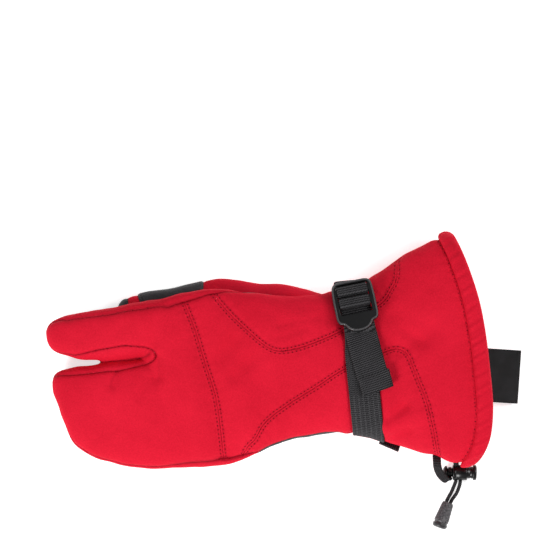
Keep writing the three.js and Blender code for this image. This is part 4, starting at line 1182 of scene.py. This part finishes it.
def on_rail(v, h, across, lean):
    """Points of the webbing: v along the rail from the buckle, h above it, across from its middle
    line, the whole leaning by lean. The tail keeps its length at its two edges, though the wrist
    is wider towards the cuff."""
    x = RAIL_X + across * np.cos(lean) - v * np.sin(lean)
    in_tail = (v < 0) & (h > WEB_THICK + LAYER_GAP / 2)
    v = np.where(in_tail, v / (1 + WRIST_FLARE * (x - RAIL_X)), v)
    run = np.clip(seat_distance + across * np.sin(lean) + v * np.cos(lean), 0, rail_run[-1])
    t = np.interp(run, rail_run, shares)
    here = rail_at(x, t)
    slope = unit(rail_at(x, np.minimum(t + 0.001, 1)) - rail_at(x, np.maximum(t - 0.001, 0)))
    return np.stack([x, here[:, 0] - slope[:, 1] * h, here[:, 1] + slope[:, 0] * h], axis=-1)


def smooth_share(value, low, high):
    """0 below low, 1 above high, and a soft step between them."""
    share = np.clip((value - low) / (high - low), 0, 1)
    return share**2 * (3 - 2 * share)


def strap_lean(v, h):
    """How much the strap leans: the lower layer turns only near the buckle, the tail a bit more."""
    low = BUCKLE_TURN * smooth_share(v, -34, -8)
    high = BUCKLE_TURN + (TAIL_TURN - BUCKLE_TURN) * smooth_share(-v, 6, -TAIL_END)
    return np.where(h < UPPER_LAYER - WEB_THICK / 2, low, high)


def round_bend(before, corner, after, reach, count):
    """Points of the bend that takes the place of a corner, as far as reach on both sides."""
    start, end = (corner + unit(other - corner) * min(reach, 0.45 * np.linalg.norm(other - corner))
                  for other in (before, after))
    t = np.linspace(0, 1, count)[:, None]
    return (1 - t) ** 2 * start + 2 * t * (1 - t) * corner + t**2 * end


def webbing_path(corners, step=0.7):
    """Points along straight lines between the corners, each corner cut to a round bend."""
    corners = np.array(corners, float)
    bends = [round_bend(*three, WEB_BEND, 7) for three in zip(corners, corners[1:], corners[2:])]
    rough = np.vstack([corners[:1]] + bends + [corners[-1:]])
    run = lengths(rough)
    even = np.linspace(0, run[-1], int(run[-1] / step))
    return np.stack([np.interp(even, run, rough[:, k]) for k in (0, 1)], axis=1)


def webbing(name, corners, lean, fold_end=None):
    """A webbing strip along a path of v and h, with rounded selvedges. From fold_end on, at the
    path's end, it is folded under itself, so that it is thicker and a little askew."""
    path = webbing_path(corners)
    ahead = unit(np.gradient(path, axis=0))
    out = np.stack([-ahead[:, 1], ahead[:, 0]], axis=1)
    outline = band_outline(31, 14, 0.5)[::-1]
    folded = np.zeros((len(path), 1))
    if fold_end is not None:
        folded[:, 0] = smooth_share(lengths(path), fold_end - 0.7, fold_end + 0.7)
    thick = WEB_THICK + 1.1 * folded
    v = path[:, :1] + out[:, :1] * outline[None, :, 1] * thick / 2
    h = path[:, 1:] + 0.5 * folded + out[:, 1:] * outline[None, :, 1] * thick / 2
    turn = np.broadcast_to(lean(path[:, 0], path[:, 1])[:, None], v.shape)
    across = outline[None, :, 0] * (WEB_WIDTH / 2 + 0.4 * folded) + 0.9 * folded
    grid = on_rail(v.ravel(), h.ravel(), across.ravel(), turn.ravel()).reshape(v.shape + (3,))
    wide = np.append(0, np.cumsum(np.abs(np.diff(outline[:, 0])))) * WEB_WIDTH / 2
    closed_rings(name, grid, strap_weave, wide, lengths(path))


strap_weave = webbing_finish("wrist_webbing", *WEB_WEAVE)
tab_weave = webbing_finish("strap_end_webbing", *WEB_WEAVE)
side, run = strap_weave.place()
in_row = (strap_weave.step(strap_weave.off_middle(side, SEWN_ROWS), 0.08, 0.16, 1.0, 0.0)
          * strap_weave.step(run, SEWN_END_Y - 1, SEWN_END_Y, 1.0, 0.0))
thread = in_row * strap_weave.step(strap_weave.off_middle(run, SEWN_PITCH), 0.3, 0.4, 1.0, 0.25)
strap_weave.paint(thread * 0.8, strap_weave.painted, THREAD_GREY)
strap_start = 2 - seat_distance
strap_corners = [
    (strap_start, LOWER_LAYER), (STRAP_BAR[1] + BAR_CLEAR, LOWER_LAYER),
    (STRAP_BAR[1] + BAR_CLEAR, BAR_LAYER), (STRAP_BAR[0] - BAR_CLEAR, BAR_LAYER),
    (STRAP_BAR[0] - BAR_CLEAR, UPPER_LAYER), (TAIL_END, UPPER_LAYER)]
tail_fold = lengths(webbing_path(strap_corners))[-1] - TAIL_FOLD
webbing("wrist_strap", strap_corners, strap_lean, tail_fold)

# The sewn end of the strap is folded under, and a corner of it shows past the strap's lower edge.
TAB_WIDTH = 5.4
TAB_THICK = 1.6
tab_route = smooth_route([(56.4, -49.4, 15.2), (60.4, -51.7, 14.9), (64.4, -53.9, 14.5),
                          (68.4, -56.2, 14)], 16)
tab_grid = flat_band(tab_route, np.tile([0.42, 0.72, -0.55], (len(tab_route), 1)), TAB_WIDTH, TAB_THICK)
closed_rings("strap_end_fold", tab_grid, tab_weave, np.linspace(0, 12, tab_grid.shape[1]),
             lengths(tab_route), replaces=False)

# Strap anchor: a short loop of the same webbing round the buckle's second bar. Its short end is
# sewn down under the rim, and the long one runs down the thumb side, where it is sewn in.
ANCHOR_FOLD = 14
anchor_end = rail_run[-1] - seat_distance - 2
webbing("strap_anchor", [
    (anchor_end, LOWER_LAYER), (ANCHOR_BAR[0] - BAR_CLEAR, LOWER_LAYER),
    (ANCHOR_BAR[0] - BAR_CLEAR, BAR_LAYER), (ANCHOR_BAR[1] + BAR_CLEAR, BAR_LAYER),
    (ANCHOR_BAR[1] + BAR_CLEAR, UPPER_LAYER), (ANCHOR_FOLD, UPPER_LAYER)],
    lambda v, h: BUCKLE_TURN + 0 * v)

# Buckle: a ladder lock moulded in glossy black plastic, with three slots between its rim, its two
# bars and the tab that lifts it to let the webbing run. A rounded lip runs round its upper edge,
# with a painted highlight along its top.
BUCKLE_ROUND = 0.7
OUTLINE_BEND = 2.2
SLOT_BEND = 0.7
LIP_SIDES = 10
LIP_RADIUS = 0.75
LIP_INSET = 0.85
LIP_SUNK = 0.25
TAB_RISE = 1.3
buckle_half = [(0, -18.2), (4.2, -17.6), (7.6, -15.4), (9.4, -12.2), (12.8, -11.2), (13.9, -8.4),
               (14, 4), (13.4, 13), (12.2, 15.8), (9.6, 16.8)]
buckle_outline = buckle_half + [(-u, v) for u, v in buckle_half[:0:-1]]


def rounded_loop(corners, reach):
    """Points of a closed loop through corners, each corner cut to a round bend."""
    corners = np.array(corners, float)
    around = zip(np.roll(corners, 1, axis=0), corners, np.roll(corners, -1, axis=0))
    return np.vstack([round_bend(*three, reach, 6) for three in around])


def curve_loop(curve, corners, reach):
    """Adds that loop to the curve."""
    points = rounded_loop(corners, reach)
    loop = curve.splines.new("POLY")
    loop.points.add(len(points) - 1)
    flat = np.tile([0, 1], (len(points), 1))
    loop.points.foreach_set("co", np.hstack([points, flat]).ravel())
    loop.use_cyclic_u = True


def turned(u, v, angle):
    """The two coordinates after a turn by the angle."""
    return u * math.cos(angle) - v * math.sin(angle), u * math.sin(angle) + v * math.cos(angle)


curve = bpy.data.curves.new("buckle_outline", "CURVE")
curve.dimensions = "2D"
curve.fill_mode = "BOTH"
curve.extrude = BUCKLE_THICK / 2 - BUCKLE_ROUND
curve.bevel_depth = BUCKLE_ROUND
curve.bevel_resolution = 4
curve.offset = -BUCKLE_ROUND
curve_loop(curve, buckle_outline, OUTLINE_BEND)
for low, high in ((TAB_HIGH, STRAP_BAR[0]), (STRAP_BAR[1], ANCHOR_BAR[0]), (ANCHOR_BAR[1], RIM_LOW)):
    slot = [(-SLOT_HALF, low), (SLOT_HALF, low), (SLOT_HALF, high), (-SLOT_HALF, high)]
    curve_loop(curve, slot, SLOT_BEND)
holder = put("buckle_outline", curve)
solid = bpy.data.meshes.new_from_object(holder.evaluated_get(bpy.context.evaluated_depsgraph_get()))
place = coordinates(solid)
net = [list(face.vertices) for face in solid.polygons]
bpy.data.objects.remove(holder)

lip_line = rounded_loop(buckle_outline, OUTLINE_BEND)
lip_line = lip_line * (1 - LIP_INSET / np.linalg.norm(lip_line, axis=1, keepdims=True))
aside = unit(np.roll(lip_line, -1, axis=0) - np.roll(lip_line, 1, axis=0))[:, ::-1] * (1, -1)
turn = full_turn(LIP_SIDES)[:, None]
lip_height = np.broadcast_to(BUCKLE_THICK / 2 - LIP_SUNK + LIP_RADIUS * np.sin(turn),
                             (len(lip_line), LIP_SIDES, 1))
lip = np.concatenate([lip_line[:, None] + LIP_RADIUS * aside[:, None] * np.cos(turn), lip_height], axis=2)
lip_net = ring_net(len(lip_line) + 1, LIP_SIDES) % (LIP_SIDES * len(lip_line))
net += (lip_net + len(place)).tolist()
# The top of the lip is marked for a painted highlight, which the plastic paints lighter.
edge = np.append(np.zeros(len(place)), np.tile(np.clip(2 * np.sin(turn[:, 0]) - 0.8, 0, 1), len(lip_line)))
place = np.vstack([place, lip.reshape(-1, 3)])
tab_rise = TAB_RISE * smooth_share(-place[:, 1], 7, 17)
x, along = turned(place[:, 0], place[:, 1], BUCKLE_TURN)
y, z = turned(along, place[:, 2] + BUCKLE_LOW + BUCKLE_THICK / 2 + tab_rise, BUCKLE_SLOPE)
buckle = piece_from("buckle", np.stack([RAIL_X + x, seat[0] + y, seat[1] + z], axis=1), net, plastic)
set_marks(buckle, edge=edge)

# Care label: a strip of folded satin, sewn into the cuff, that comes out over the lower hem and
# curls down. Its surface is plain.
LABEL_WIDTH = 35.5
LABEL_LENGTH = 52.5
LABEL_THICK = 0.8
LABEL_TURN = math.radians(-10)
LABEL_SEAT = np.array([101.5, -8.6])
label_rows = [(0, 4.6), (8, 8.2), (18, 8.4), (29, 8.2), (36, 7), (44, 5.2), (LABEL_LENGTH, 3.4)]
SATIN_THREADS = 14.0
SATIN_BLACK = (0.008, 0.0077, 0.0083, 1)
SATIN_LIGHT = (0.015, 0.0145, 0.016, 1)

label_line = smooth_route(label_rows, 60)
a, span = np.meshgrid(label_line[:, 0], np.linspace(-1, 1, 41), indexing="ij")
curl = 0.5 * np.sin(a / 9) * span + 0.35 * np.sin(a / 6 + 1) * span**2
under = label_line[:, 1][:, None] + curl * np.clip(a / 30, 0, 1)
across = span * LABEL_WIDTH / 2
x, y = turned(a, across, LABEL_TURN)
face_up, face_down = (np.stack([LABEL_SEAT[0] + x, LABEL_SEAT[1] + y, under + lift], axis=-1)
                      for lift in (LABEL_THICK, 0))
label_grid = np.concatenate([face_up[:, ::-1], face_down], axis=1)
wide = np.append(across[0], across[0][::-1] + LABEL_WIDTH)
satin = Finish("woven_satin", "satin_black", Roughness=0.42, Specular_IOR_Level=0.18)
satin.paint(satin.step(satin.noise(70, 3), 0.3, 0.7), SATIN_BLACK, SATIN_LIGHT)
satin.relief(satin.math("SINE", satin.pattern()[0] * SATIN_THREADS), 0.00004)
label = closed_rings("care_label", label_grid, satin, wide, label_line[:, 0])
